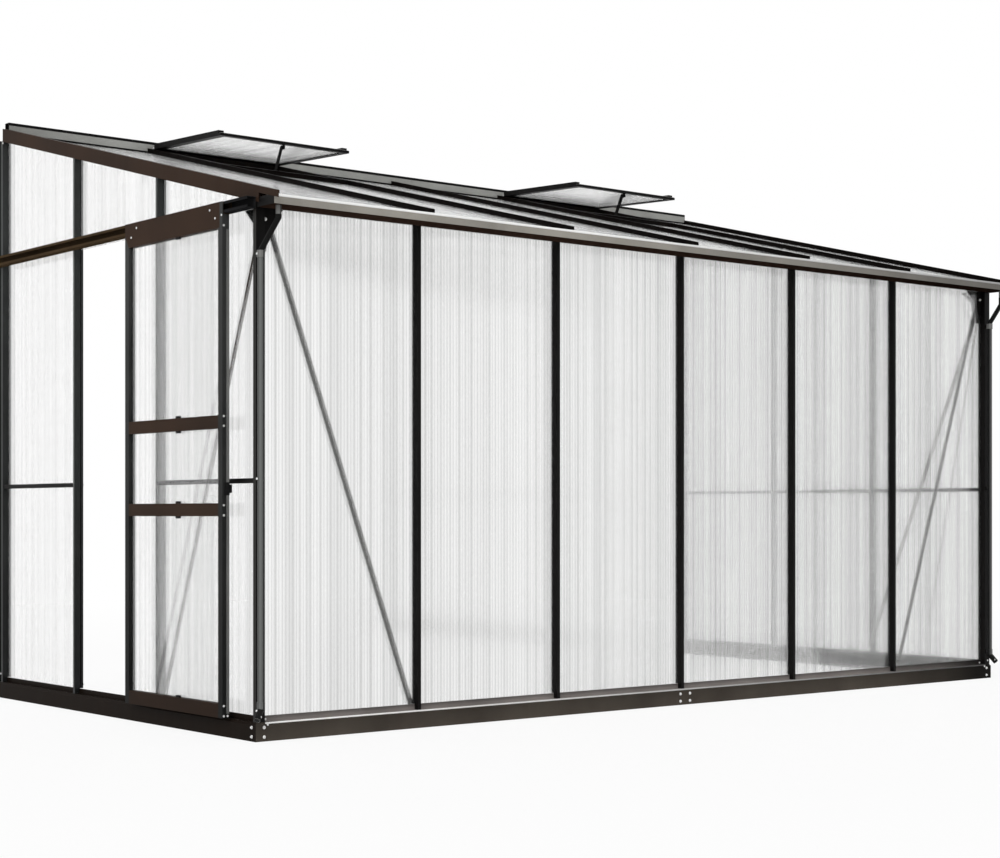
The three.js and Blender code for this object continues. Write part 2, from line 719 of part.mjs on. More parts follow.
function doorSheet() {
  const front = doorOuter + (doorThickness - sheetThickness) / 2;
  const reach = panePocket - fitGap;
  const low = doorBottom + bottomRail - reach;
  const high = doorTop - topRail + reach;
  const near = doorFront + stileWidth - reach;
  const far = doorFront + doorWidth - stileWidth + reach;
  return block(front, front + sheetThickness, near, far, low, high);
}

function roller() {
  const bore = axleRadius + axleGap;
  const rim = rollerRadius - rollerChamfer;
  const profile = [
    [bore, 0], [rim, 0], [rollerRadius, rollerChamfer], [rollerRadius, rollerWidth - rollerChamfer],
    [rim, rollerWidth], [bore, rollerWidth], [bore, 0],
  ];
  const wheel = new THREE.LatheGeometry(profile.map(([r, h]) => new THREE.Vector2(r, h)), 2 * roundSides);
  return wheel.rotateZ(-Math.PI / 2);
}

function doorTrack() {
  const slotLow = trackLow + trackLipLow;
  const slotHigh = slotLow + trackSlot;
  const outline = [
    [trackBack, trackLow], [trackBack, trackTop], [trackFront, trackTop], [trackFront, slotHigh],
    [trackFront + trackWall, slotHigh], [trackFront + trackWall, trackTop - trackWall],
    [trackBack - trackWall, trackTop - trackWall], [trackBack - trackWall, trackLow + trackWall],
    [trackFront + trackWall, trackLow + trackWall], [trackFront + trackWall, slotLow],
    [trackFront, slotLow], [trackFront, trackLow],
  ];
  return prism(outline, 'y', barFace + trackEndGap, depth - trackEndGap);
}

function door() {
  addPart('door_track', doorTrack(), charcoal);
  addPart('door_frame', doorFrame(), brown);
  addPart('door_panel', doorSheet(), glazing);
  [doorFront + rollerInset, doorFront + doorWidth - rollerInset].forEach((y, index) => {
    addPart(`door_roller_${index + 1}`, roller(), nylon).position.set(rollerFront, y, axleHeight);
  });
}

// A round pipe through a line of points, with a ball in every bend
function pipe(points, radius) {
  const runs = points.slice(1).map((point, i) => rod(points[i], point, radius));
  const balls = points.slice(1, -1).map((point) => {
    const ball = new THREE.SphereGeometry(radius, roundSides, roundSides / 2);
    return ball.translate(point.x, point.y, point.z);
  });
  return join(...runs, ...balls);
}

function downpipe({ outletX, pipeX, bendDrop }) {
  const point = (x, y, z) => new THREE.Vector3(x, y, z);
  const top = gutterLow - outletDrop - fitGap;
  const bend = point(outletX, -outletY, top - bendDrop);
  const elbow = point(pipeX, -pipeY, pipeTop + pipeCollar);
  const foot = point(pipeX, -pipeY, pipeFoot);
  const mouth = point(pipeX - shoeOut, -pipeY - shoeForward, pipeFoot - shoeDrop);
  return join(
    pipe([point(outletX, -outletY, top), bend, elbow], elbowRadius),
    pipe([elbow, foot, mouth], pipeRadius),
    rod(elbow, point(pipeX, -pipeY, pipeTop), collarRadius),
    rod(point(pipeX, -pipeY, pipeFoot + pipeCollar), foot, collarRadius),
  );
}

// Both braces of a corner spring from one bracket, a plate on each wall
function cornerBrace(frontBrace) {
  const start = barBack + fitGap;
  const end = start + braceThickness;
  const top = eaveHeight - fitGap;
  const gusset = [
    [start, top], [start, top - gussetHeight], [start + gussetFoot, top - gussetHeight],
    [start + gussetKnee, top - gussetKneeDrop], [start + gussetReach, top],
  ];
  const flat = (brace) => {
    const head = eaveHeight - brace.drop;
    const run = (brace.footIn - brace.topIn) / (head - brace.foot);
    const half = (braceWidth / 2) * Math.hypot(1, run);
    return [
      [brace.topIn - half, head], [brace.topIn + half, head],
      [brace.footIn + half, brace.foot], [brace.footIn - half, brace.foot],
    ];
  };
  const side = [gusset, flat(sideBrace)].map((outline) => prism(outline, 'x', start, end));
  const front = [gusset, flat(frontBrace)].map((outline) => prism(outline, 'y', start, end));
  return join(...side, ...front);
}

baseRails();
sideFrames();
frontMullions();
roofFrame();
frontSheets();
sideSheets();
roofSheets();
vents();
door();
addPart('downpipe_left', downpipe(leftPipe), charcoal);
addPart('downpipe_right', mirrored(downpipe(rightPipe)), charcoal);
addPart('corner_brace_left', cornerBrace(leftFrontBrace), charcoal);
addPart('corner_brace_right', mirrored(cornerBrace(rightFrontBrace)), charcoal);

export default greenhouse;
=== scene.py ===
import math

import bmesh
import bpy
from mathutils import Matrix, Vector


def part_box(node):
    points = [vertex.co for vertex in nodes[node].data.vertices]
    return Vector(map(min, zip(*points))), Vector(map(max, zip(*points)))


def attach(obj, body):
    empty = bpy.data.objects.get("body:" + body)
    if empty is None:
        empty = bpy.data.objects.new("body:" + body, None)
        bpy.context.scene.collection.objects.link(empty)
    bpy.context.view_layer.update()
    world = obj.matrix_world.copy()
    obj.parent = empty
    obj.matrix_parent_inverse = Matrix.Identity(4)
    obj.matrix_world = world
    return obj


# Lean-to greenhouse: finishes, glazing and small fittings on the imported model.
# Places are in millimetres from the front left corner of the base, as on a drawing.

print("greenhouse: loading the frame")
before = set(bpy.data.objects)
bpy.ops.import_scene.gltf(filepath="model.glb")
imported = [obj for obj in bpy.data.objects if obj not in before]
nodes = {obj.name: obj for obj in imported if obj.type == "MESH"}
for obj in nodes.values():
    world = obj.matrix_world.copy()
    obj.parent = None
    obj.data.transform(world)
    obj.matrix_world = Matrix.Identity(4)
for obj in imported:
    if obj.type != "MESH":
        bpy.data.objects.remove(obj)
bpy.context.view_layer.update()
perMetre = 1000
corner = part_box("base_front")[0]
length = (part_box("base_front")[1].x - corner.x) * perMetre
depth = (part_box("base_left")[1].y - corner.y) * perMetre

kit = {
    "firstBar": 27.5, "bay": 610, "barBack": 37.8, "frontBars": 5, "sideBars": 2,
    "roofHeight": 1733, "roofSlope": 0.2513, "eaveHeight": 1673,
    "vents": (1.5, 4.5), "ventLean": math.radians(2.507), "ventHinge": (1820, 2194.49),
}
ways = {"left": 1, "right": -1}  # each end of the house, and which way along x is inwards there


def at(x, y, z):
    # a place on the drawing, in the frame's metres
    return corner + Vector((x, y, z)) / perMetre


def barCentre(number):
    return kit["firstBar"] + number * kit["bay"]


def roofTop(y):
    return kit["roofHeight"] + kit["roofSlope"] * y


def onSide(side, x):
    return x if side == "left" else length - x


def spotOn(side, spot):
    return (onSide(side, spot[0]), spot[1], spot[2])


def turnedTo(side, direction):
    return (ways[side] * direction[0], direction[1], direction[2])


def spanOn(side, near, far):
    return (near, far) if side == "left" else (length - far, length - near)


# Node helpers

def feed(tree, socket, value):
    # another node's output is linked, a plain value is set on the socket itself
    if isinstance(value, bpy.types.NodeSocket):
        tree.links.new(value, socket)
    elif socket.type == "RGBA":
        socket.default_value = (*value, 1.0)
    else:
        socket.default_value = value


def place(tree, kind, inputs=None, **settings):
    node = tree.nodes.new(kind)
    for key, value in settings.items():
        setattr(node, key, value)
    for key, value in (inputs or {}).items():
        feed(tree, node.inputs[key], value)
    return node


def reckon(tree, operation, *values, clamp=False):
    inputs = dict(enumerate(values))
    return place(tree, "ShaderNodeMath", inputs, operation=operation, use_clamp=clamp).outputs[0]


def blendColour(tree, share, first, second, mode="MIX"):
    node = place(tree, "ShaderNodeMix", data_type="RGBA", blend_type=mode)
    for key, value in (("Factor", share), ("A", first), ("B", second)):
        socket = [s for s in node.inputs if s.name == key and s.enabled][0]
        feed(tree, socket, value)
    return [s for s in node.outputs if s.enabled][0]


def toRange(tree, value, source, target=(0.0, 1.0)):
    ends = {"From Min": source[0], "From Max": source[1], "To Min": target[0], "To Max": target[1]}
    return place(tree, "ShaderNodeMapRange", {"Value": value, **ends}, clamp=True).outputs["Result"]


def noise(tree, where, values):
    return place(tree, "ShaderNodeTexNoise", {"Vector": where, **values}).outputs[0]


def axisOf(tree, where, axis):
    return place(tree, "ShaderNodeSeparateXYZ", {0: where}).outputs[axis]


def vectorMath(tree, operation, first, second, output="Vector"):
    inputs = {0: first, 1: second}
    return place(tree, "ShaderNodeVectorMath", inputs, operation=operation).outputs[output]


def newGroup(name, inputs, outputs):
    # inputs give each socket's kind and its first value
    group = bpy.data.node_groups.new(name, "ShaderNodeTree")
    for label, (kind, value) in inputs.items():
        socket = group.interface.new_socket(name=label, in_out="INPUT", socket_type=f"NodeSocket{kind}")
        if value is not None:
            socket.default_value = value
    for label, kind in outputs.items():
        group.interface.new_socket(name=label, in_out="OUTPUT", socket_type=f"NodeSocket{kind}")
    start = group.nodes.new("NodeGroupInput")
    end = group.nodes.new("NodeGroupOutput")
    return group, start.outputs, end.inputs


def useGroup(tree, group, inputs):
    node = tree.nodes.new("ShaderNodeGroup")
    node.node_tree = group
    for key, value in inputs.items():
        feed(tree, node.inputs[key], value)
    return node.outputs


print("greenhouse: effect groups")

wearAndHighlightShape = {
    "samples": 2, "edge": (0.995, 0.78), "patches": {"Scale": 55.0, "Detail": 3.0},
    "patchRange": (0.38, 0.62), "patchShare": (0.35, 1.0),
}


def makeEdgeWearAndHighlight():
    # rounded edges catch the light; the mask gives them the edge colour, partly worn paint and partly a
    # painted highlight
    inputs = {"Radius": ("Float", 0.0012), "Place": ("Vector", None), "Amount": ("Float", 1.0)}
    group, given, result = newGroup("edgeWearAndHighlight", inputs, {"Mask": "Float", "Normal": "Vector"})
    bevel = place(group, "ShaderNodeBevel", {"Radius": given["Radius"]}, samples=wearAndHighlightShape["samples"])
    rounded = bevel.outputs[0]
    flat = place(group, "ShaderNodeNewGeometry").outputs["Normal"]
    edge = toRange(group, vectorMath(group, "DOT_PRODUCT", rounded, flat, "Value"), wearAndHighlightShape["edge"])
    patches = noise(group, given["Place"], wearAndHighlightShape["patches"])
    broken = toRange(group, patches, wearAndHighlightShape["patchRange"], wearAndHighlightShape["patchShare"])
    wornAndLit = reckon(group, "MULTIPLY", edge, broken)
    feed(group, result["Mask"], reckon(group, "MULTIPLY", wornAndLit, given["Amount"], clamp=True))
    feed(group, result["Normal"], rounded)
    return group


grainShape = {"fineDetail": 2.0, "fineShare": 0.35, "slow": {"Scale": 3.4, "Detail": 4.0}, "slowShare": 0.65}


def makePowderGrain():
    # the fine orange-peel of powder paint, and its slow change of shade along a bar
    inputs = {"Place": ("Vector", None), "Fineness": ("Float", 900.0)}
    group, given, result = newGroup("powderGrain", inputs, {"Shade": "Float", "Height": "Float"})
    fine = noise(group, given["Place"], {"Scale": given["Fineness"], "Detail": grainShape["fineDetail"]})
    slow = noise(group, given["Place"], grainShape["slow"])
    finePart = reckon(group, "MULTIPLY", fine, grainShape["fineShare"])
    slowPart = reckon(group, "MULTIPLY", slow, grainShape["slowShare"])
    feed(group, result["Shade"], reckon(group, "ADD", finePart, slowPart))
    feed(group, result["Height"], fine)
    return group


dustShape = {
    "level": (0.35, 0.97),  # how far a face looks up, from bare to dusty
    "cloud": {"Scale": 14.0, "Detail": 5.0}, "cloudRange": (0.35, 0.7), "cloudShare": (0.25, 1.0),
    "specks": {"Scale": 420.0, "Detail": 2.0}, "speckRange": (0.3, 0.7), "speckShare": (0.5, 1.0),
}


def makeSettledDust():
    # dust lies on what faces up, thicker in some places
    inputs = {"Place": ("Vector", None), "Amount": ("Float", 0.5)}
    group, given, result = newGroup("settledDust", inputs, {"Mask": "Float"})
    up = axisOf(group, place(group, "ShaderNodeNewGeometry").outputs["Normal"], "Z")
    level = toRange(group, up, dustShape["level"])
    cloud = noise(group, given["Place"], dustShape["cloud"])
    specks = noise(group, given["Place"], dustShape["specks"])
    clouded = toRange(group, cloud, dustShape["cloudRange"], dustShape["cloudShare"])
    speckled = toRange(group, specks, dustShape["speckRange"], dustShape["speckShare"])
    lying = reckon(group, "MULTIPLY", level, reckon(group, "MULTIPLY", clouded, speckled))
    feed(group, result["Mask"], reckon(group, "MULTIPLY", lying, given["Amount"], clamp=True))
    return group


fluteShape = {"middle": 0.5, "roundness": 3.0}


def makeFlutes():
    # the walls between the hollow cells of a twin-wall sheet, and the faint mould lines among them
    inputs = {"Across": ("Float", 0.0), "Pitch": ("Float", 0.006), "Share": ("Float", 0.2)}
    outputs = {"Rib": "Float", "Bulge": "Float", "Unevenness": "Float"}
    group, given, result = newGroup("flutes", inputs, outputs)
    turns = reckon(group, "DIVIDE", given["Across"], given["Pitch"])
    fromMiddle = reckon(group, "SUBTRACT", reckon(group, "FRACT", turns), fluteShape["middle"])
    toWall = reckon(group, "DIVIDE", reckon(group, "ABSOLUTE", fromMiddle), fluteShape["middle"])
    edge = reckon(group, "SUBTRACT", 1.0, given["Share"])
    bulge = reckon(group, "SUBTRACT", 1.0, reckon(group, "POWER", toWall, fluteShape["roundness"]))
    cell = reckon(group, "FLOOR", reckon(group, "ADD", turns, fluteShape["middle"]))
    uneven = place(group, "ShaderNodeTexWhiteNoise", {"W": cell}, noise_dimensions="1D").outputs["Value"]
    feed(group, result["Rib"], toRange(group, toWall, (edge, 1.0)))
    feed(group, result["Bulge"], bulge)
    feed(group, result["Unevenness"], uneven)
    return group


rainShape = {
    "runs": {"Scale": 1.0, "Detail": 4.0, "Roughness": 0.6}, "runRange": (0.45, 0.75),
    "dropScale": 60.0, "dropRange": (0.16, 0.1), "dropShare": (0.0, 0.35),
}


def makeRainMarks():
    # pale runs and drop marks, long in one direction
    inputs = {"Place": ("Vector", None), "Stretch": ("Vector", (30.0, 30.0, 1.6)), "Amount": ("Float", 0.5)}
    group, given, result = newGroup("rainMarks", inputs, {"Mask": "Float"})
    drawn = vectorMath(group, "MULTIPLY", given["Place"], given["Stretch"])
    runs = toRange(group, noise(group, drawn, rainShape["runs"]), rainShape["runRange"])
    spots = {"Vector": given["Place"], "Scale": rainShape["dropScale"]}
    drops = place(group, "ShaderNodeTexVoronoi", spots, feature="F1").outputs["Distance"]
    drop = toRange(group, drops, rainShape["dropRange"], rainShape["dropShare"])
    marked = reckon(group, "ADD", runs, reckon(group, "MULTIPLY", drop, runs))
    feed(group, result["Mask"], reckon(group, "MULTIPLY", marked, given["Amount"], clamp=True))
    return group


def makePaintedShadeFade():
    # painted shade: a bar gets darker towards the end that is further from the light
    inputs = {
        "Along": ("Float", 0.0), "Colour": ("Color", None),
        "Start": ("Float", -1.0), "End": ("Float", 1.8), "Least": ("Float", 0.3),
    }
    group, given, result = newGroup("paintedShadeFade", inputs, {"Colour": "Color"})
    share = toRange(group, given["Along"], (given["Start"], given["End"]), (1.0, given["Least"]))
    allThree = place(group, "ShaderNodeCombineXYZ", {0: share, 1: share, 2: share}).outputs[0]
    feed(group, result["Colour"], blendColour(group, 1.0, given["Colour"], allThree, "MULTIPLY"))
    return group


sheenShape = {"fall": 0.45}  # the stripe fades over this much beyond its brightest line


def makePipeSheen():
    # the soft stripe along the lit side of a round pipe, and its dark far side
    inputs = {
        "Normal": ("Vector", None), "Colour": ("Color", None), "Toward": ("Vector", (-0.85, 0.53, 0.0)),
        "Lit": ("Color", (0.1, 0.11, 0.105, 1.0)), "Start": ("Float", -0.62), "End": ("Float", 0.45),
        "Beyond": ("Float", 1.0),
    }
    group, given, result = newGroup("pipeSheen", inputs, {"Colour": "Color"})
    facing = vectorMath(group, "DOT_PRODUCT", given["Normal"], given["Toward"], "Value")
    rise = toRange(group, facing, (given["Start"], given["End"]))
    fallEnd = reckon(group, "ADD", given["End"], sheenShape["fall"])
    fall = toRange(group, facing, (given["End"], fallEnd), (1.0, given["Beyond"]))
    share = reckon(group, "MULTIPLY", rise, fall)
    feed(group, result["Colour"], blendColour(group, share, given["Colour"], given["Lit"]))
    return group


edgeWearAndHighlight = makeEdgeWearAndHighlight()
powderGrain = makePowderGrain()
settledDust = makeSettledDust()
flutes = makeFlutes()
rainMarks = makeRainMarks()
paintedShadeFade = makePaintedShadeFade()
pipeSheen = makePipeSheen()

print("greenhouse: paints")


def startMaterial(name):
    material = bpy.data.materials.new(name)
    material.use_nodes = True
    tree = material.node_tree
    tree.nodes.clear()
    output = place(tree, "ShaderNodeOutputMaterial")
    shader = place(tree, "ShaderNodeBsdfPrincipled")
    feed(tree, output.inputs["Surface"], shader.outputs[0])
    where = place(tree, "ShaderNodeTexCoord").outputs["Object"]
    return material, tree, shader, where


paintShape = {
    "shadeRange": (0.35, 0.65), "lighter": 1.3, "roughRange": (0.3, 0.7), "smoother": 0.06, "rougher": 0.08,
    "dustRoughness": 0.25, "bump": {"Strength": 0.25, "Distance": 0.0002},
}


def paintEffects(tree, where, look):
    wearAndHighlight = useGroup(tree, edgeWearAndHighlight, {"Radius": look["edgeRadius"], "Place": where, "Amount": look["wearAndHighlight"]})
    grain = useGroup(tree, powderGrain, {"Place": where, "Fineness": look["fineness"]})
    dust = useGroup(tree, settledDust, {"Place": where, "Amount": look["dust"]})
    return wearAndHighlight, grain, dust


def paintShade(tree, grain, look):
    # a darker and a lighter shade of one paint, mixed by its grain
    share = toRange(tree, grain["Shade"], paintShape["shadeRange"])
    darker = [c * look["low"] for c in look["colour"]]
    lighter = [min(1.0, c * paintShape["lighter"]) for c in look["colour"]]
    return blendColour(tree, share, darker, lighter)


def paintRoughness(tree, grain, look):
    rough = look["roughness"]
    target = (rough - paintShape["smoother"], rough + paintShape["rougher"])
    return toRange(tree, grain["Shade"], paintShape["roughRange"], target)


# painted shade along one axis, from a look's fade or rise
def paintedShadeAlong(tree, where, colour, axis, fade):
    if not fade:
        return colour
    inputs = {"Along": axisOf(tree, where, axis), "Colour": colour, **fade}
    return useGroup(tree, paintedShadeFade, inputs)["Colour"]


def coverShader(tree, shader, look, colour, rough, grain, wearAndHighlight):
    # what every paint has in common at its shader
    relief = {**paintShape["bump"], "Height": grain["Height"], "Normal": wearAndHighlight["Normal"]}
    feed(tree, shader.inputs["Base Color"], colour)
    feed(tree, shader.inputs["Roughness"], rough)
    feed(tree, shader.inputs["Normal"], place(tree, "ShaderNodeBump", relief).outputs[0])
    feed(tree, shader.inputs["Metallic"], look["metallic"])
    feed(tree, shader.inputs["Specular IOR Level"], look["specular"])


def paintedMetal(name, look):
    material, tree, shader, where = startMaterial(name)
    wearAndHighlight, grain, dust = paintEffects(tree, where, look)
    marks = useGroup(tree, rainMarks, {"Place": where, "Amount": look["rain"]})
    rained = blendColour(tree, marks["Mask"], paintShade(tree, grain, look), look["dustColour"])
    dusty = blendColour(tree, dust["Mask"], rained, look["dustColour"])
    # the edge colour on rounded edges: partly worn paint, partly a painted highlight
    colour = blendColour(tree, wearAndHighlight["Mask"], dusty, look["edgeColour"])
    colour = paintedShadeAlong(tree, where, colour, "X", look.get("fade"))
    colour = paintedShadeAlong(tree, where, colour, "Z", look.get("rise"))
    if "sheen" in look:
        stripe = {"Normal": wearAndHighlight["Normal"], "Colour": colour, **look["sheen"]}
        colour = useGroup(tree, pipeSheen, stripe)["Colour"]
    dull = reckon(tree, "MULTIPLY", dust["Mask"], paintShape["dustRoughness"])
    rough = reckon(tree, "ADD", paintRoughness(tree, grain, look), dull, clamp=True)
    coverShader(tree, shader, look, colour, rough, grain, wearAndHighlight)
    return material


def twoPaints(name, first, second, axis, span):
    # the first paint between two places along an axis, in metres, and the second beyond them
    material, tree, shader, where = startMaterial(name)
    wearAndHighlight, grain, dust = paintEffects(tree, where, first)
    along = axisOf(tree, where, axis)
    past = reckon(tree, "GREATER_THAN", along, span[0])
    short = reckon(tree, "LESS_THAN", along, span[1])
    inside = reckon(tree, "MULTIPLY", past, short)
    shades = []
    for look in (second, first):
        shades.append(paintedShadeAlong(tree, where, paintShade(tree, grain, look), "Z", look.get("rise")))
    edge = blendColour(tree, inside, second["edgeColour"], first["edgeColour"])
    dusty = blendColour(tree, dust["Mask"], blendColour(tree, inside, *shades), first["dustColour"])
    colour = blendColour(tree, wearAndHighlight["Mask"], dusty, edge)
    coverShader(tree, shader, first, colour, paintRoughness(tree, grain, first), grain, wearAndHighlight)
    return material


# Dark frame: bars, posts and roof

# in every paint's look a fade along x and a rise along z are painted shade, darkening from Start to End in
# metres
charcoalLook = {
    "colour": (0.0042, 0.0038, 0.0036), "edgeColour": (0.03, 0.03, 0.03), "dustColour": (0.022, 0.021, 0.02),
    "low": 0.72, "roughness": 0.46, "metallic": 0.0, "specular": 0.07, "wearAndHighlight": 0.5, "dust": 0.2,
    "rain": 0.12, "fineness": 900.0, "edgeRadius": 0.0012,
}
charcoal = paintedMetal("charcoalPaint", charcoalLook)

roofLook = {
    **charcoalLook, "colour": (0.0034, 0.0026, 0.0022), "edgeColour": (0.014, 0.011, 0.01),
    "specular": 0.02, "dust": 0.06,
}
roofBlack = paintedMetal("roofPaint", roofLook)

# the bluish grey of the posts and studs is a painted reflection of the sky; the rise darkens them towards the
# ground as painted shade
uprightLook = {
    **charcoalLook, "colour": (0.036, 0.0385, 0.038), "edgeColour": (0.09, 0.098, 0.098),
    "specular": 0.17, "roughness": 0.36, "rise": {"Start": 1.65, "End": 0.15, "Least": 0.3},
}
uprightSkyReflection = paintedMetal("uprightPaint", uprightLook)

postLook = {
    **uprightLook, "colour": (0.0128, 0.0118, 0.01), "specular": 0.12,
    "rise": {"Start": 1.65, "End": 0.15, "Least": 0.8},
}
postPaint = paintedMetal("cornerPostPaint", postLook)

# a pale strip down the face of each side stud, a painted highlight
studHighlightLook = {
    **uprightLook, "colour": (0.085, 0.09, 0.087), "edgeColour": (0.12, 0.125, 0.12), "specular": 0.4,
}
studHighlightPaint = paintedMetal("studHighlightStrip", studHighlightLook)

# Base rails

sideBaseLook = {**charcoalLook, "colour": (0.0105, 0.007, 0.005), "specular": 0.02}
sideBase = paintedMetal("sideBasePaint", sideBaseLook)

brownLook = {
    **charcoalLook, "colour": (0.034, 0.0195, 0.0128), "edgeColour": (0.085, 0.06, 0.045),
    "dustColour": (0.05, 0.035, 0.027), "specular": 0.03,
}
brown = paintedMetal("brownPaint", brownLook)

lipLook = {
    **brownLook, "colour": (0.27, 0.245, 0.232), "edgeColour": (0.3, 0.28, 0.27),
    "dustColour": (0.3, 0.28, 0.27), "fade": {"Start": 1.15, "End": 1.78, "Least": 0.09},
    "rise": {"Start": 0.0605, "End": 0.0775, "Least": 0.36},
}
lipPaint = paintedMetal("baseLipPaint", lipLook)

# the front rail's lighter paint and the side rails' darker sideBasePaint are lit and shaded copies of one
# paint
frontBaseLook = {
    **brownLook, "colour": (0.073, 0.062, 0.051), "edgeColour": (0.13, 0.12, 0.1),
    "fade": {"Start": 1.15, "End": 1.76, "Least": 0.1}, "rise": {"Start": 0.004, "End": 0.05, "Least": 0.72},
}
frontBase = paintedMetal("frontBasePaint", frontBaseLook)

# Gutter, ridge and the pale beads, whose pale paint is a painted reflection and highlight

greyLook = {
    **charcoalLook, "colour": (0.3, 0.283, 0.25), "edgeColour": (0.5, 0.49, 0.46),
    "dustColour": (0.34, 0.32, 0.29), "roughness": 0.4, "specular": 0.25,
}
# the pale grey of the gutter's face is a painted reflection of the sky on dark paint
gutterReflectionLook = {**greyLook, "fade": {"Start": -0.6, "End": 1.85, "Least": 0.36}}
gutterReflectionGrey = paintedMetal("eaveGreyPaint", gutterReflectionLook)

# the pale grey of the ridge flashing and the vent edges is a painted reflection of the sky
ridgeReflectionLook = {**greyLook, "colour": (0.33, 0.333, 0.315)}
ridgeReflectionGrey = paintedMetal("ridgeGreyPaint", ridgeReflectionLook)

underLook = {
    **brownLook, "colour": (0.03, 0.0172, 0.0122), "edgeColour": (0.034, 0.02, 0.014),
    "specular": 0.0, "roughness": 0.6, "fade": {"Start": -1.0, "End": 1.7, "Least": 0.3},
}
gutterUnder = paintedMetal("gutterUnderside", underLook)

brightLook = {
    **charcoalLook, "colour": (0.97, 0.97, 0.95), "edgeColour": (0.99, 0.99, 0.98),
    "dustColour": (0.8, 0.8, 0.78), "roughness": 0.28, "metallic": 0.25, "specular": 0.5,
    "dust": 0.15, "rain": 0.1,
}
# the near-white gutter lip and its bead are a painted reflection of the sky, fading along x as painted shade
lipReflectionLook = {
    **brightLook, "metallic": 0.0, "low": 0.94, "dust": 0.05, "rain": 0.04,
    "fade": {"Start": -0.6, "End": 1.7, "Least": 0.36},
}
lipPaintedReflection = paintedMetal("brightLip", lipReflectionLook)

# the pale bead on the base's top edge is a painted highlight, fading along x as painted shade
beadHighlightLook = {
    **brightLook, "colour": (1.0, 0.99, 0.96), "edgeColour": (1.0, 0.99, 0.96), "metallic": 0.0,
    "low": 0.96, "dust": 0.0, "rain": 0.0, "specular": 0.15,
    "fade": {"Start": -1.55, "End": 1.55, "Least": 0.08},
}
beadPaintedHighlight = paintedMetal("baseBead", beadHighlightLook)

# Door and its track

# the lighter blue-grey of the door stiles is a painted highlight
stileHighlightLook = {**uprightLook, "colour": (0.046, 0.047, 0.046)}
kickLook = {**brownLook, "rise": {"Start": 0.118, "End": 0.106, "Least": 0.58}}  # darker below the last rail
trackLook = {
    **brownLook, "colour": (0.056, 0.037, 0.021), "edgeColour": (0.05, 0.036, 0.024), "specular": 0.0,
}
trackEndLook = {**charcoalLook, "colour": (0.019, 0.019, 0.02)}
doorSeams = {"stiles": (171.4, 762.6), "hanger": 162.6, "trackEnd": 145}


def fromFront(near, far):
    return (at(0, near, 0).y, at(0, far, 0).y)


doorPaint = twoPaints("doorPaint", kickLook, stileHighlightLook, "Y", fromFront(*doorSeams["stiles"]))
hangerPaint = twoPaints("doorHangerPaint", brownLook, stileHighlightLook, "Y", fromFront(doorSeams["hanger"], depth))
trackPaint = twoPaints("trackPaint", trackLook, trackEndLook, "Y", fromFront(doorSeams["trackEnd"], depth))

edgeStripLook = {
    **greyLook, "colour": (0.17, 0.172, 0.165), "edgeColour": (0.2, 0.2, 0.195), "dust": 0.1,
    "rise": {"Start": 0.9, "End": 0.2, "Least": 0.75},
}
stripGrey = paintedMetal("edgeStrip", edgeStripLook)

# Braces: grey on the front wall up to the gusset, brown on the side wall

greyHeights = (0.0, 1.536)
braceLook = {**greyLook, "colour": (0.13, 0.13, 0.125)}
braceGrey = twoPaints("bracePaint", braceLook, charcoalLook, "Z", greyHeights)

sideBraceLook = {**brownLook, "colour": (0.03, 0.02, 0.014)}
braceBrown = paintedMetal("braceBrown", sideBraceLook)

# Downpipes

pipeSheenLook = {"Toward": (-0.85, 0.53, 0.0), "End": -0.05}
pipeLook = {
    **charcoalLook, "colour": (0.004, 0.004, 0.004), "edgeColour": (0.02, 0.02, 0.021),
    "roughness": 0.3, "specular": 0.25, "edgeRadius": 0.0025, "wearAndHighlight": 0.2,
    "sheen": {**pipeSheenLook, "Lit": (0.225, 0.235, 0.228), "Start": -0.55, "Beyond": 0.34},
}
pipeBlack = paintedMetal("blackPipe", pipeLook)

rightPipeLook = {
    **pipeLook, "specular": 0.1,
    "sheen": {"Toward": (0.777, -0.629, 0.0), "Lit": (0.17, 0.17, 0.17), "Start": -0.35, "End": 0.9},
}
rightPipeBlack = paintedMetal("blackPipeRight", rightPipeLook)

collarLook = {
    **greyLook, "colour": (0.03, 0.03, 0.029), "edgeColour": (0.2, 0.2, 0.195),
    "sheen": {**pipeSheenLook, "Lit": (0.25, 0.25, 0.24), "Start": -0.6, "Beyond": 0.42},
}
collarGrey = paintedMetal("collarGrey", collarLook)

elbowLook = {**charcoalLook, "colour": (0.006, 0.006, 0.0055), "specular": 0.07, "roughness": 0.35}
elbowBlack = paintedMetal("blackElbow", elbowLook)

# the pale rims of the pipe mouths are a painted highlight: the whole edge mask takes a bright colour
mouthHighlightLook = {**elbowLook, "edgeColour": (0.75, 0.75, 0.72), "wearAndHighlight": 1.0, "edgeRadius": 0.0014}
mouthHighlightBlack = paintedMetal("pipeMouth", mouthHighlightLook)

# Fasteners and nylon

zincLook = {
    **brightLook, "colour": (0.85, 0.85, 0.83), "metallic": 0.5, "roughness": 0.3, "wearAndHighlight": 0.4,
    "edgeRadius": 0.0005, "fineness": 1800.0,
}
zinc = paintedMetal("zincPlate", zincLook)

nylonLook = {**charcoalLook, "colour": (0.011, 0.011, 0.011), "roughness": 0.55, "wearAndHighlight": 0.2}
nylon = paintedMetal("blackNylon", nylonLook)

print("greenhouse: twin-wall sheets")

sheetLook = {
    "colour": (0.86, 0.865, 0.855), "ribColour": (0.5, 0.505, 0.5), "dark": (0.62, 0.625, 0.62),
    "pitch": 0.0131, "share": 0.4, "body": 0.4, "ribBody": 0.6, "cellBody": 0.2, "haze": 0.06,
    "roughness": 0.15, "soiledRange": (0.0, 0.3), "soiledRoughness": 0.2, "glance": 0.3,
    "glanceBlend": 0.35, "glancePower": 2.0, "bump": {"Strength": 0.15, "Distance": 0.0005},
    "ior": 1.49, "transmission": 0.96, "specular": 0.35,
}


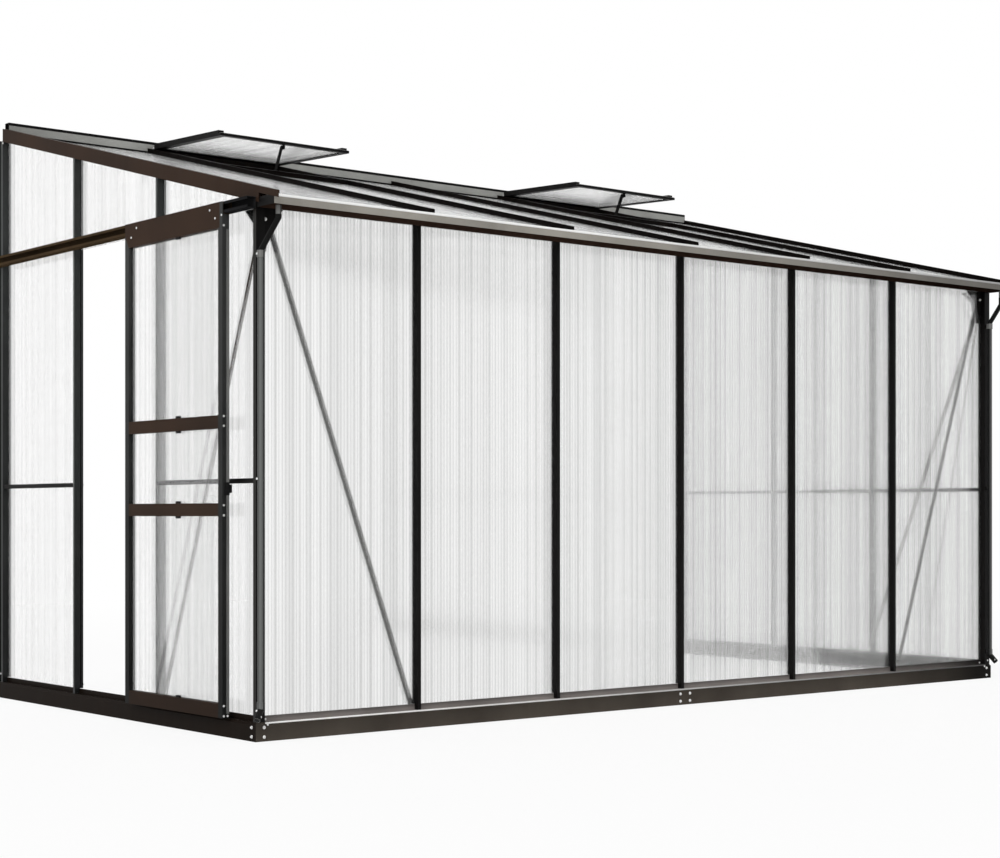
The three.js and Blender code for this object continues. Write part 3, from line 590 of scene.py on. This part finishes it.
def sheetColour(tree, cells, look):
    uneven = reckon(tree, "MULTIPLY", cells["Unevenness"], cells["Unevenness"])
    toned = blendColour(tree, uneven, look["colour"], look["dark"])
    return blendColour(tree, cells["Rib"], toned, look["ribColour"])


def sheetBody(tree, cells, marks, dust, look):
    # how solid the sheet looks: more at its ribs, in dull cells, under dirt and at a flat angle
    cell = reckon(tree, "MULTIPLY", cells["Unevenness"], look["cellBody"])
    rib = reckon(tree, "MULTIPLY", cells["Rib"], look["ribBody"] - look["body"])
    soiled = reckon(tree, "ADD", marks["Mask"], dust["Mask"])
    facing = place(tree, "ShaderNodeLayerWeight", {"Blend": look["glanceBlend"]}).outputs["Facing"]
    flatness = reckon(tree, "POWER", facing, look["glancePower"])
    glancing = reckon(tree, "MULTIPLY", flatness, look["glance"])
    clean = reckon(tree, "ADD", reckon(tree, "ADD", look["body"], cell), rib)
    return reckon(tree, "ADD", clean, reckon(tree, "ADD", soiled, glancing), clamp=True)


def twinWallSheet(name, across, stretch, look):
    material, tree, shader, where = startMaterial(name)
    cut = {"Across": axisOf(tree, where, across), "Pitch": look["pitch"], "Share": look["share"]}
    cells = useGroup(tree, flutes, cut)
    marks = useGroup(tree, rainMarks, {"Place": where, "Stretch": stretch, "Amount": look["haze"]})
    dust = useGroup(tree, settledDust, {"Place": where, "Amount": look["haze"]})
    roughTarget = (look["roughness"], look["roughness"] + look["soiledRoughness"])
    rough = toRange(tree, marks["Mask"], look["soiledRange"], roughTarget)
    bump = place(tree, "ShaderNodeBump", {**look["bump"], "Height": cells["Bulge"]}).outputs[0]
    feed(tree, shader.inputs["Base Color"], sheetColour(tree, cells, look))
    feed(tree, shader.inputs["Alpha"], sheetBody(tree, cells, marks, dust, look))
    feed(tree, shader.inputs["Roughness"], rough)
    feed(tree, shader.inputs["Normal"], bump)
    feed(tree, shader.inputs["IOR"], look["ior"])
    feed(tree, shader.inputs["Transmission Weight"], look["transmission"])
    feed(tree, shader.inputs["Specular IOR Level"], look["specular"])
    return material


sideSheetLook = {**sheetLook, "body": 0.14, "ribBody": 0.3, "roughness": 0.08, "glance": 0.12}
roofSheetLook = {**sheetLook, "colour": (0.74, 0.742, 0.73), "haze": 0.22}
rainDown = {"wall": (26.0, 26.0, 1.3), "roof": (26.0, 1.5, 1.5)}

frontSheet = twinWallSheet("twinWallFront", "X", rainDown["wall"], sheetLook)
sideSheet = twinWallSheet("twinWallSide", "Y", rainDown["wall"], sideSheetLook)
roofSheet = twinWallSheet("twinWallRoof", "X", rainDown["roof"], roofSheetLook)

print("greenhouse: paint on the frame")


def paint(name, *finishes):
    data = nodes[name].data
    data.materials.clear()
    for finish in finishes:
        data.materials.append(finish)
    for face in data.polygons:
        face.material_index = 0
    return data


def paintFaces(name, finishes, choose):
    # choose names one of the finishes, from a face's centre in millimetres and its normal
    data = paint(name, *finishes.values())
    order = list(finishes)
    for face in data.polygons:
        spot = (Vector(face.center) - corner) * perMetre
        face.material_index = order.index(choose(spot, face.normal))


nodeFinishes = {
    ("front_mullion", "vent_frame", "vent_stay", "corner_post_right", "ridge_plate"): charcoal,
    ("wall_post", "left_stud", "right_stud"): uprightSkyReflection,
    ("roof_bar", "vent_curb"): roofBlack,
    ("base_left", "base_right"): sideBase,
    ("front_panel",): frontSheet,
    ("roof_panel", "vent_panel"): roofSheet,
    ("left_panel", "right_panel", "door_panel"): sideSheet,
    ("door_roller",): nylon,
    ("door_track",): trackPaint,
}
for name in nodes:
    for starts, finish in nodeFinishes.items():
        if name.startswith(starts):
            paint(name, finish)

# Seams between the finishes of one part: gutter in (y, z), the rest as named

turnedAway = 0.5  # a face whose normal leans this far along an axis counts as facing that way
gutterSeams = {"outlet": (-50, 1667), "lip": (-85, 1689), "face": -90, "back": 2}
pipeSeams = {"collar": (1506, 1532), "foot": 100}
hangerSeam = {"low": 1617, "outside": -29.5}
braceSeams = {"wall": 41.5, "gusset": 1530}
lipSeam = {"low": 59.5, "y": (4, 26)}


def gutterFinish(spot, normal):
    outlet, lip = gutterSeams["outlet"], gutterSeams["lip"]
    if spot.y < outlet[0] and spot.z < outlet[1]:
        return "outlet"
    if spot.y < lip[0] and spot.z > lip[1]:
        return "lip"
    if spot.y < gutterSeams["face"] and normal.y < -turnedAway:
        return "face"
    if spot.y < gutterSeams["back"] and normal.z < -turnedAway:
        return "under"
    return "back" if spot.y > gutterSeams["back"] or abs(normal.x) > turnedAway else "face"


def pipeFinish(spot, normal):
    low, high = pipeSeams["collar"]
    if low < spot.z < high:
        return "collar"
    return "bend" if spot.z > high or spot.z < pipeSeams["foot"] else "straight"


def doorFinish(spot, normal):
    onHanger = spot.z > hangerSeam["low"] and spot.x < hangerSeam["outside"]
    return "hanger" if onHanger else "frame"


def braceFinish(spot, normal):
    wall = braceSeams["wall"]
    if spot.y < wall < spot.x < length - wall:
        return "frontBar"
    return "sideBar" if spot.z < braceSeams["gusset"] else "gusset"


def baseFinish(spot, normal):
    near, far = lipSeam["y"]
    return "lip" if spot.z > lipSeam["low"] and near < spot.y < far else "face"


# a post's front faces take the black paint and its other faces a lighter one: lit and shaded copies, painted
# shade on the front
def postFinish(spot, normal):
    return "front" if normal.y < -turnedAway else "side"


# a verge's inner faces take the near-black roof paint as painted shade, its outer faces the brown
def vergeLeftFinish(spot, normal):
    return "inside" if normal.x > turnedAway else "outside"


def vergeRightFinish(spot, normal):
    return "inside" if normal.x < turnedAway else "outside"


gutterPaints = {
    "face": gutterReflectionGrey, "lip": lipPaintedReflection, "under": gutterUnder, "back": charcoal, "outlet": collarGrey,
}
vergePaints = {"outside": brown, "inside": roofBlack}
paintFaces("eave_gutter", gutterPaints, gutterFinish)
paintFaces("base_front", {"face": frontBase, "lip": lipPaint}, baseFinish)
paintFaces("corner_post_left", {"side": postPaint, "front": charcoal}, postFinish)
paintFaces("verge_bar_left", vergePaints, vergeLeftFinish)
paintFaces("verge_bar_right", vergePaints, vergeRightFinish)
paintFaces("door_frame", {"frame": doorPaint, "hanger": hangerPaint}, doorFinish)
for side, straight in (("left", pipeBlack), ("right", rightPipeBlack)):
    pipePaints = {"straight": straight, "collar": collarGrey, "bend": elbowBlack}
    paintFaces(f"downpipe_{side}", pipePaints, pipeFinish)
    bracePaints = {"gusset": charcoal, "frontBar": braceGrey, "sideBar": braceBrown}
    paintFaces(f"corner_brace_{side}", bracePaints, braceFinish)


# Shape helpers: every piece is a bmesh closed on itself

def addRings(mesh, outlines):
    # outlines with equally many points, each joined to the next, the first and last closed by a face
    rings = [[mesh.verts.new(point) for point in outline] for outline in outlines]
    mesh.faces.new(rings[0])
    mesh.faces.new(rings[-1])
    for low, high in zip(rings, rings[1:]):
        for i in range(len(low)):
            j = (i + 1) % len(low)
            mesh.faces.new((low[i], low[j], high[j], high[i]))


def addPrism(mesh, outline, axis, start, end):
    # outline is given in (y, z), (x, z) or (x, y), for a prism along x, y or z
    def point(a, b, c):
        return at(*{"x": (c, a, b), "y": (a, c, b), "z": (a, b, c)}[axis])
    addRings(mesh, [[point(a, b, c) for a, b in outline] for c in (start, end)])


def rectangle(low, high):
    (a0, b0), (a1, b1) = low, high
    return [(a0, b0), (a1, b0), (a1, b1), (a0, b1)]


def circle(radius, sides, centre=(0, 0)):
    turns = [math.tau * i / sides for i in range(sides)]
    return [(centre[0] + radius * math.cos(turn), centre[1] + radius * math.sin(turn)) for turn in turns]


def addBlock(mesh, low, high):
    addPrism(mesh, rectangle(low[:2], high[:2]), "z", low[2], high[2])


def addTurned(mesh, centre, direction, profile, sides):
    # profile is (radius, height) from the seat outwards, turned about the direction
    turn = Vector((0, 0, 1)).rotation_difference(Vector(direction).normalized()).to_matrix()
    seat = at(*centre)
    outlines = []
    for radius, height in profile:
        spots = [turn @ Vector((a, b, height)) for a, b in circle(radius, sides)]
        outlines.append([seat + spot / perMetre for spot in spots])
    addRings(mesh, outlines)


rounding = {"segments": 2, "angle": 35}


def makePiece(name, mesh, finish, body, bevel=0.0):
    bmesh.ops.recalc_face_normals(mesh, faces=mesh.faces)
    data = bpy.data.meshes.new(name)
    mesh.to_mesh(data)
    mesh.free()
    data.materials.append(finish)
    piece = bpy.data.objects.new(name, data)
    bpy.context.scene.collection.objects.link(piece)
    if bevel:
        softened = piece.modifiers.new("rounding", "BEVEL")
        softened.width = bevel / perMetre
        softened.segments = rounding["segments"]
        softened.limit_method = "ANGLE"
        softened.angle_limit = math.radians(rounding["angle"])
    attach(piece, body)


# Fasteners: each profile is (radius, height) in millimetres from the seat outwards

bolt = {
    "washer": {"profile": [(5.6, 0), (5.6, 0.6), (5.208, 1.0)], "sides": 16},
    "head": {"profile": [(4.416, 0), (4.6, 0.5), (4.6, 2.5), (3.772, 3.2)], "sides": 6},
    "stud": {"profile": [(2.4, 0), (2.4, 4.7), (1.8, 5.2)], "sides": 10},
    "sunk": 0.5,  # the head and the stud start this far into the washer
}
screw = {"profile": [(3.8, 0), (3.8, 0.77), (3.268, 1.65), (2.09, 2.2), (1.8, 2.2), (1.62, 1.1)], "sides": 12}
frontFace, backFace = (0, -1, 0), (0, 1, 0)
sideFace, innerFace = (-1, 0, 0), (1, 0, 0)


def addBolt(mesh, centre, direction):
    seat = Vector(centre) + Vector(direction).normalized() * bolt["sunk"]
    addTurned(mesh, centre, direction, **bolt["washer"])
    addTurned(mesh, seat, direction, **bolt["head"])
    addTurned(mesh, seat, direction, **bolt["stud"])


def addScrew(mesh, centre, direction):
    addTurned(mesh, centre, direction, **screw)


def addOn(side, mesh, add, spot, direction):
    # a fastener that is drawn for the left end, at either end of the house
    add(mesh, spotOn(side, spot), turnedTo(side, direction))


def addPair(mesh, add, spot, direction):
    for side in ways:
        addOn(side, mesh, add, spot, direction)


print("greenhouse: side rails")

sideRail = {
    "height": 815, "half": 7.5, "outer": (6.0, 25.2), "inner": (29.8, 37.4), "groove": 1.6, "grooveHalf": 2.6,
    "bays": [(22.3, 630.4), (644.6, 1240.4), (1254.6, 1850.4)], "built": {"left": (0, 2), "right": (0, 1, 2)},
}


def addSideRail(mesh, near, far, side):
    z, half, lip, deep = (sideRail[key] for key in ("height", "half", "grooveHalf", "groove"))
    bottom, low, high, top = z - half, z - lip, z + lip, z + half
    x0, x1 = sideRail["outer"]
    groove = [(x0, high), (x0 + deep, high), (x0 + deep, low), (x0, low)]
    outer = rectangle((x0, bottom), (x1, top)) + groove
    x0, x1 = sideRail["inner"]
    groove = [(x1, low), (x1 - deep, low), (x1 - deep, high), (x1, high)]
    inner = [(x0, bottom), (x1, bottom)] + groove + [(x1, top), (x0, top)]
    for outline in (outer, inner):
        addPrism(mesh, [(onSide(side, x), height) for x, height in outline], "y", near, far)


for side, bays in sideRail["built"].items():
    for bay in bays:
        rail = bmesh.new()
        addSideRail(rail, *sideRail["bays"][bay], side)
        makePiece(f"side_rail_{side}_{bay + 1}", rail, charcoal, "greenhouse")

print("greenhouse: trims")

flashing = {"y": (1850.6, 1852.0), "z": (2186.0, 2214.6), "inset": 31}
trim = bmesh.new()
addBlock(trim, *zip((flashing["inset"], length - flashing["inset"]), flashing["y"], flashing["z"]))
makePiece("ridge_flashing", trim, ridgeReflectionGrey, "greenhouse")

lipBead = {"centre": (-92.8, 1693.4), "radius": 4.4, "inset": 8, "sides": 12}
baseBead = {"centre": (2.3, 56.9), "radius": 2.8, "inset": 36, "sides": 12}


def makeBead(name, bead, finish):
    mesh = bmesh.new()
    outline = circle(bead["radius"], bead["sides"], bead["centre"])
    addPrism(mesh, outline, "x", bead["inset"], length - bead["inset"])
    makePiece(name, mesh, finish, "greenhouse")


makeBead("gutter_lip", lipBead, lipPaintedReflection)
makeBead("base_bead", baseBead, beadPaintedHighlight)

studHighlightStrip = {"half": 3.6, "x": (3.0, 4.5), "low": 84, "topDrop": 60, "bevel": 0.5}
strips = bmesh.new()
for side in ways:
    for number in range(1, kit["sideBars"] + 1):
        y = barCentre(number)
        high = roofTop(y) - studHighlightStrip["topDrop"]
        outline = rectangle((y - studHighlightStrip["half"], studHighlightStrip["low"]), (y + studHighlightStrip["half"], high))
        addPrism(strips, outline, "x", *spanOn(side, *studHighlightStrip["x"]))
makePiece("stud_highlight_strips", strips, studHighlightPaint, "greenhouse", studHighlightStrip["bevel"])

gutterEnd = {"x": (5.9, 7.1), "low": (-95.8, 1666.2), "high": (2, 1692), "bevel": 0.4}
for side in ways:
    cap = bmesh.new()
    addPrism(cap, rectangle(gutterEnd["low"], gutterEnd["high"]), "x", *spanOn(side, *gutterEnd["x"]))
    makePiece(f"gutter_end_{side}", cap, charcoal, "greenhouse", gutterEnd["bevel"])

bracket = {
    "outline": [(37.2, 1671), (97, 1671), (95, 1660), (58, 1583), (37.2, 1551)], "y": (21.6, 24.8),
    "reach": {"left": 97, "right": 60}, "bolt": (48.7, 21.6, 1635.3), "bevel": 0.5,
}
for side in ways:
    plate = bmesh.new()
    reach = bracket["reach"][side]
    outline = [(onSide(side, min(x, reach)), z) for x, z in bracket["outline"]]
    addPrism(plate, outline, "y", *bracket["y"])
    makePiece(f"gutter_bracket_{side}", plate, charcoal, "greenhouse", bracket["bevel"])

print("greenhouse: bolts and screws")

baseFixing = {
    "frontBolts": ((31, 0, 44), (31, 0, 14)), "sideBolts": ((0, 23, 44), (0, 23, 15)),
    "jointBolts": ((1841, 0, 14), (1841, 0, 41), (1890, 0, 14), (1890, 0, 41)),  # the front rail's joint
    "frontScrews": ((44, 0.5, 52), (49.5, 22.9, 66.5), (17, 4.3, 76), (13, 4.3, 97)),
    "wallPostScrews": ((4.3, 1849, 2142), (4.3, 1866, 92)),
}
outside = bmesh.new()
for spot in baseFixing["frontBolts"]:
    addPair(outside, addBolt, spot, frontFace)
for spot in baseFixing["sideBolts"]:
    addPair(outside, addBolt, spot, sideFace)
for spot in baseFixing["jointBolts"]:
    addBolt(outside, spot, frontFace)
for spot in baseFixing["frontScrews"]:
    addPair(outside, addScrew, spot, frontFace)
for spot in baseFixing["wallPostScrews"]:
    addScrew(outside, spot, sideFace)
addPair(outside, addBolt, bracket["bolt"], frontFace)
makePiece("base_bolts", outside, zinc, "greenhouse")

barFixing = {"foot": 92, "underEave": 16, "fromEnds": 72, "underRoof": 30.9, "underVerge": 66}
underRoof = Vector((0, kit["roofSlope"], -1)).normalized()
inside = bmesh.new()
for number in range(1, kit["frontBars"] + 1):
    x = barCentre(number)
    for z in (barFixing["foot"], kit["eaveHeight"] - barFixing["underEave"]):
        addBolt(inside, (x, kit["barBack"], z), backFace)
    for y in (barFixing["fromEnds"], depth - barFixing["fromEnds"]):
        addBolt(inside, (x, y, roofTop(y) - barFixing["underRoof"]), underRoof)
for number in range(1, kit["sideBars"] + 1):
    y = barCentre(number)
    for z in (barFixing["foot"], sideRail["height"], roofTop(y) - barFixing["underVerge"]):
        addPair(inside, addBolt, (kit["barBack"], y, z), innerFace)
makePiece("bar_bolts", inside, zinc, "greenhouse")

braceFixing = {
    "sideWall": ((40.1, 104, 1663), (40.1, 54, 1655), (40.1, 52, 1560), (40.1, 632, 118)),
    "frontWall": ((50, 40.1, 1655), (107, 40.1, 1655)),
    "frontFoot": {"left": (622, 40.1, 84), "right": (566, 40.1, 120)},
}
braceBolts = bmesh.new()
for side in ways:
    for spot in braceFixing["sideWall"]:
        addOn(side, braceBolts, addBolt, spot, innerFace)
    for spot in (*braceFixing["frontWall"], braceFixing["frontFoot"][side]):
        addOn(side, braceBolts, addBolt, spot, backFace)
makePiece("brace_bolts", braceBolts, zinc, "greenhouse")

doorFixing = {
    "hangers": ((-33, 708, 1679), (-33, 745, 1650), (-33, 223, 1679), (-33, 190, 1650)),
    "x": -28, "front": 145, "back": 789, "railHeights": (1020, 989, 738, 706, 103, 71),
    "topFront": (-28, 145, 1623), "topSide": (-33, 150, 1656), "footFront": (-14, 145, 71),
}
doorScrews = bmesh.new()
for spot in doorFixing["hangers"]:
    addScrew(doorScrews, spot, sideFace)
for z in doorFixing["railHeights"]:
    addScrew(doorScrews, (doorFixing["x"], doorFixing["front"], z), frontFace)
    addScrew(doorScrews, (doorFixing["x"], doorFixing["back"], z), backFace)
for key, direction in (("topFront", frontFace), ("topSide", sideFace), ("footFront", frontFace)):
    addScrew(doorScrews, doorFixing[key], direction)
makePiece("door_screws", doorScrews, zinc, "door")

print("greenhouse: door strip, clips and catch")

edgeStrip = {"x": (-18.4, -8.2), "y": (143.9, 145.2), "z": (78, 1612), "bevel": 0.4}
strip = bmesh.new()
addBlock(strip, *zip(edgeStrip["x"], edgeStrip["y"], edgeStrip["z"]))
makePiece("door_edge_strip", strip, stripGrey, "door", edgeStrip["bevel"])

# each edge gives its height, and which way the sheet lies from it
paneClip = {
    "y": 434.7, "half": 12, "x": (-31.5, -23.2), "reach": 7.5, "lap": 6, "bevel": 1.5,
    "edges": ((1617.5, -1), (1023.9, 1), (982.1, -1), (744.6, 1), (702.9, -1), (109, 1)),
}
clips = bmesh.new()
for edge, way in paneClip["edges"]:
    low, high = sorted((edge - way * paneClip["lap"], edge + way * paneClip["reach"]))
    outline = rectangle((paneClip["y"] - paneClip["half"], low), (paneClip["y"] + paneClip["half"], high))
    addPrism(clips, outline, "x", *paneClip["x"])
makePiece("door_clips", clips, nylon, "door", paneClip["bevel"])

latch = {
    "body": {"x": (-9, 1.6), "y": (143.5, 152), "z": (777, 804)},
    "plate": {"x": (-27, -7.4), "y": (142.6, 145.2), "z": (770, 811)}, "bevel": 0.8,
}
catch = bmesh.new()
for block in (latch["body"], latch["plate"]):
    addBlock(catch, *zip(block["x"], block["y"], block["z"]))
makePiece("door_catch", catch, nylon, "door", latch["bevel"])

print("greenhouse: vent trims and pegs")

ventEdge = {"half": 296, "along": (-524.8, -509.6), "square": (6.2, 7.8)}
ventPlug = {
    "across": 299, "screw": (287, -506, 6.4), "sides": 14,
    "profile": [(3.8, -1.0), (3.8, 3.2), (3.2, 4.2), (1.6, 4.2), (1.2, 3.4)],
}
leanCos, leanSin = math.cos(kit["ventLean"]), math.sin(kit["ventLean"])


def onVent(centre, across, along, square):
    # along runs up the slope from the hinge axis, square stands off the vent
    y, z = kit["ventHinge"]
    return (centre + across, y + along * leanCos - square * leanSin, z + along * leanSin + square * leanCos)


def makeVentEdge(number, centre):
    strip = bmesh.new()
    profile = rectangle(*zip(ventEdge["along"], ventEdge["square"]))
    ends = (-ventEdge["half"], ventEdge["half"])
    addRings(strip, [[at(*onVent(centre, across, *spot)) for spot in profile] for across in ends])
    makePiece(f"vent_edge_{number}", strip, ridgeReflectionGrey, f"vent_{number}")


def makeVentPlugs(number, centre):
    plugs = bmesh.new()
    across, along, square = ventPlug["screw"]
    for way in (-1, 1):
        hinge = onVent(centre, way * ventPlug["across"], 0, 0)
        addTurned(plugs, hinge, (way, 0, 0), ventPlug["profile"], ventPlug["sides"])
        addScrew(plugs, onVent(centre, way * across, along, square), (0, -leanSin, leanCos))
    makePiece(f"vent_plugs_{number}", plugs, zinc, f"vent_{number}")


ventCentres = [barCentre(bay) for bay in kit["vents"]]
for number, centre in enumerate(ventCentres, 1):
    makeVentEdge(number, centre)
    makeVentPlugs(number, centre)

# two pegs for the foot of each vent's stay
peg = {
    "across": (-24, 24), "y": 1325.8, "roofAt": 1326, "underRoof": 15, "sides": 14,
    "profile": [(6, 0), (6, 1.4), (5.2, 2), (2.6, 2.2), (2.6, 7), (3.8, 7.8), (3.8, 9.4), (2.8, 10.2)],
}
pegs = bmesh.new()
pegHeight = roofTop(peg["roofAt"]) - peg["underRoof"]
for centre in ventCentres:
    for across in peg["across"]:
        addTurned(pegs, (centre + across, peg["y"], pegHeight), backFace, peg["profile"], peg["sides"])
makePiece("stay_pegs", pegs, nylon, "greenhouse")

print("greenhouse: pipe fixings")

# places are counted from each pipe's axis: minus is outwards in x and to the front in y
pipe = {"x": {"left": 9, "right": length - 31}, "y": -16}
pipeClip = {"half": (4, 7), "front": 9, "wall": 4.6, "heights": (1519, 820, 115), "bevel": 0.8}
pipeScrews = (
    ((-12.6, 3, 1519), (-1, -0.25, 0)), ((-12.6, 3, 820), (-1, -0.25, 0)),
    ((-15.6, -0.5, 99.5), (-0.85, -0.25, 0.45)), ((-12.6, -18.6, 81.4), (-0.35, -0.94, 0)),
)
mouth = {
    "centre": (-23.2, -15.0, 72.0), "toward": (-23, -15, -32), "sides": 24,
    "profile": [(10.9, -0.6), (10.9, 1.4), (9.2, 1.4), (9.016, 0.2)],
}


def byPipe(side, spot):
    return (pipe["x"][side] + ways[side] * spot[0], pipe["y"] + spot[1], spot[2])


holders = bmesh.new()
heads = bmesh.new()
rims = bmesh.new()
for side in ways:
    x = pipe["x"][side]
    wide, tall = pipeClip["half"]
    for z in pipeClip["heights"]:
        near = (x - wide, pipe["y"] + pipeClip["front"], z - tall)
        addBlock(holders, near, (x + wide, pipeClip["wall"], z + tall))
    for spot, direction in pipeScrews:
        addScrew(heads, byPipe(side, spot), turnedTo(side, direction))
    seat = byPipe(side, mouth["centre"])
    addTurned(rims, seat, turnedTo(side, mouth["toward"]), mouth["profile"], mouth["sides"])
makePiece("pipe_clips", holders, charcoal, "greenhouse", pipeClip["bevel"])
makePiece("pipe_screws", heads, zinc, "greenhouse")
makePiece("pipe_mouths", rims, mouthHighlightBlack, "greenhouse")

print("greenhouse: camera, light and floor")

lens = {
    "place": (-5.0128, -5.9851, 0.7135), "turn": 39.002, "level": 90, "focal": 68.877, "rise": 0.0840,
    "sensor": 36, "clipEnd": 60,
}
cameraData = bpy.data.cameras.new("camera")
cameraData.sensor_fit = "HORIZONTAL"
cameraData.sensor_width = lens["sensor"]
cameraData.lens = lens["focal"]
cameraData.shift_y = lens["rise"]
cameraData.clip_end = lens["clipEnd"]
camera = bpy.data.objects.new("camera", cameraData)
camera.location = lens["place"]
camera.rotation_euler = (math.radians(lens["level"]), 0, -math.radians(lens["turn"]))
bpy.context.scene.collection.objects.link(camera)
bpy.context.scene.camera = camera

light = {"sun": 1.1, "sunAngle": 25, "sunTurn": (52, 0, -62), "sky": 0.72}
sunData = bpy.data.lights.new("softSun", "SUN")
sunData.energy = light["sun"]
sunData.angle = math.radians(light["sunAngle"])
sun = bpy.data.objects.new("softSun", sunData)
sun.rotation_euler = [math.radians(turn) for turn in light["sunTurn"]]
bpy.context.scene.collection.objects.link(sun)

white = (1.0, 1.0, 1.0)


def seenRays(tree):
    # one for what the camera, gloss and glass see, nought for what lights the object
    ray = place(tree, "ShaderNodeLightPath").outputs
    direct = reckon(tree, "ADD", ray["Is Camera Ray"], ray["Is Glossy Ray"])
    return reckon(tree, "ADD", direct, ray["Is Transmission Ray"], clamp=True)


world = bpy.data.worlds.new("studio")
bpy.context.scene.world = world
world.use_nodes = True
sky = world.node_tree
sky.nodes.clear()
strength = toRange(sky, seenRays(sky), (0.0, 1.0), (light["sky"], 1.0))
glow = place(sky, "ShaderNodeBackground", {"Color": white, "Strength": strength})
feed(sky, place(sky, "ShaderNodeOutputWorld").inputs["Surface"], glow.outputs[0])

floorLook = {
    "size": 30.0, "parts": 2, "drop": 0.001, "colour": (0.88, 0.88, 0.88), "roughness": 0.9, "specular": 0.1,
    "fade": (3.0, 8.0), "glow": (0.87, 1.0),
}


def makeFloorPaint():
    # the floor keeps the object's shadow and turns white further off
    material, tree, shader, where = startMaterial("paleFloor")
    feed(tree, shader.inputs["Base Color"], floorLook["colour"])
    feed(tree, shader.inputs["Roughness"], floorLook["roughness"])
    feed(tree, shader.inputs["Specular IOR Level"], floorLook["specular"])
    away = place(tree, "ShaderNodeVectorMath", {0: where}, operation="LENGTH").outputs["Value"]
    glow = toRange(tree, away, floorLook["fade"], floorLook["glow"])
    share = reckon(tree, "MULTIPLY", glow, seenRays(tree))
    backdrop = place(tree, "ShaderNodeEmission", {"Color": white, "Strength": 1.0})
    both = place(tree, "ShaderNodeMixShader", {0: share, 1: shader.outputs[0], 2: backdrop.outputs[0]})
    output = [node for node in tree.nodes if node.type == "OUTPUT_MATERIAL"][0]
    feed(tree, output.inputs["Surface"], both.outputs[0])
    return material


ground = bmesh.new()
parts = floorLook["parts"]
bmesh.ops.create_grid(ground, x_segments=parts, y_segments=parts, size=floorLook["size"])
floorData = bpy.data.meshes.new("floor")
ground.to_mesh(floorData)
ground.free()
floorData.materials.append(makeFloorPaint())
floor = bpy.data.objects.new("floor", floorData)
floor.location.z = -floorLook["drop"]
bpy.context.scene.collection.objects.link(floor)

bpy.context.scene.view_settings.view_transform = "Standard"

print("greenhouse: done")
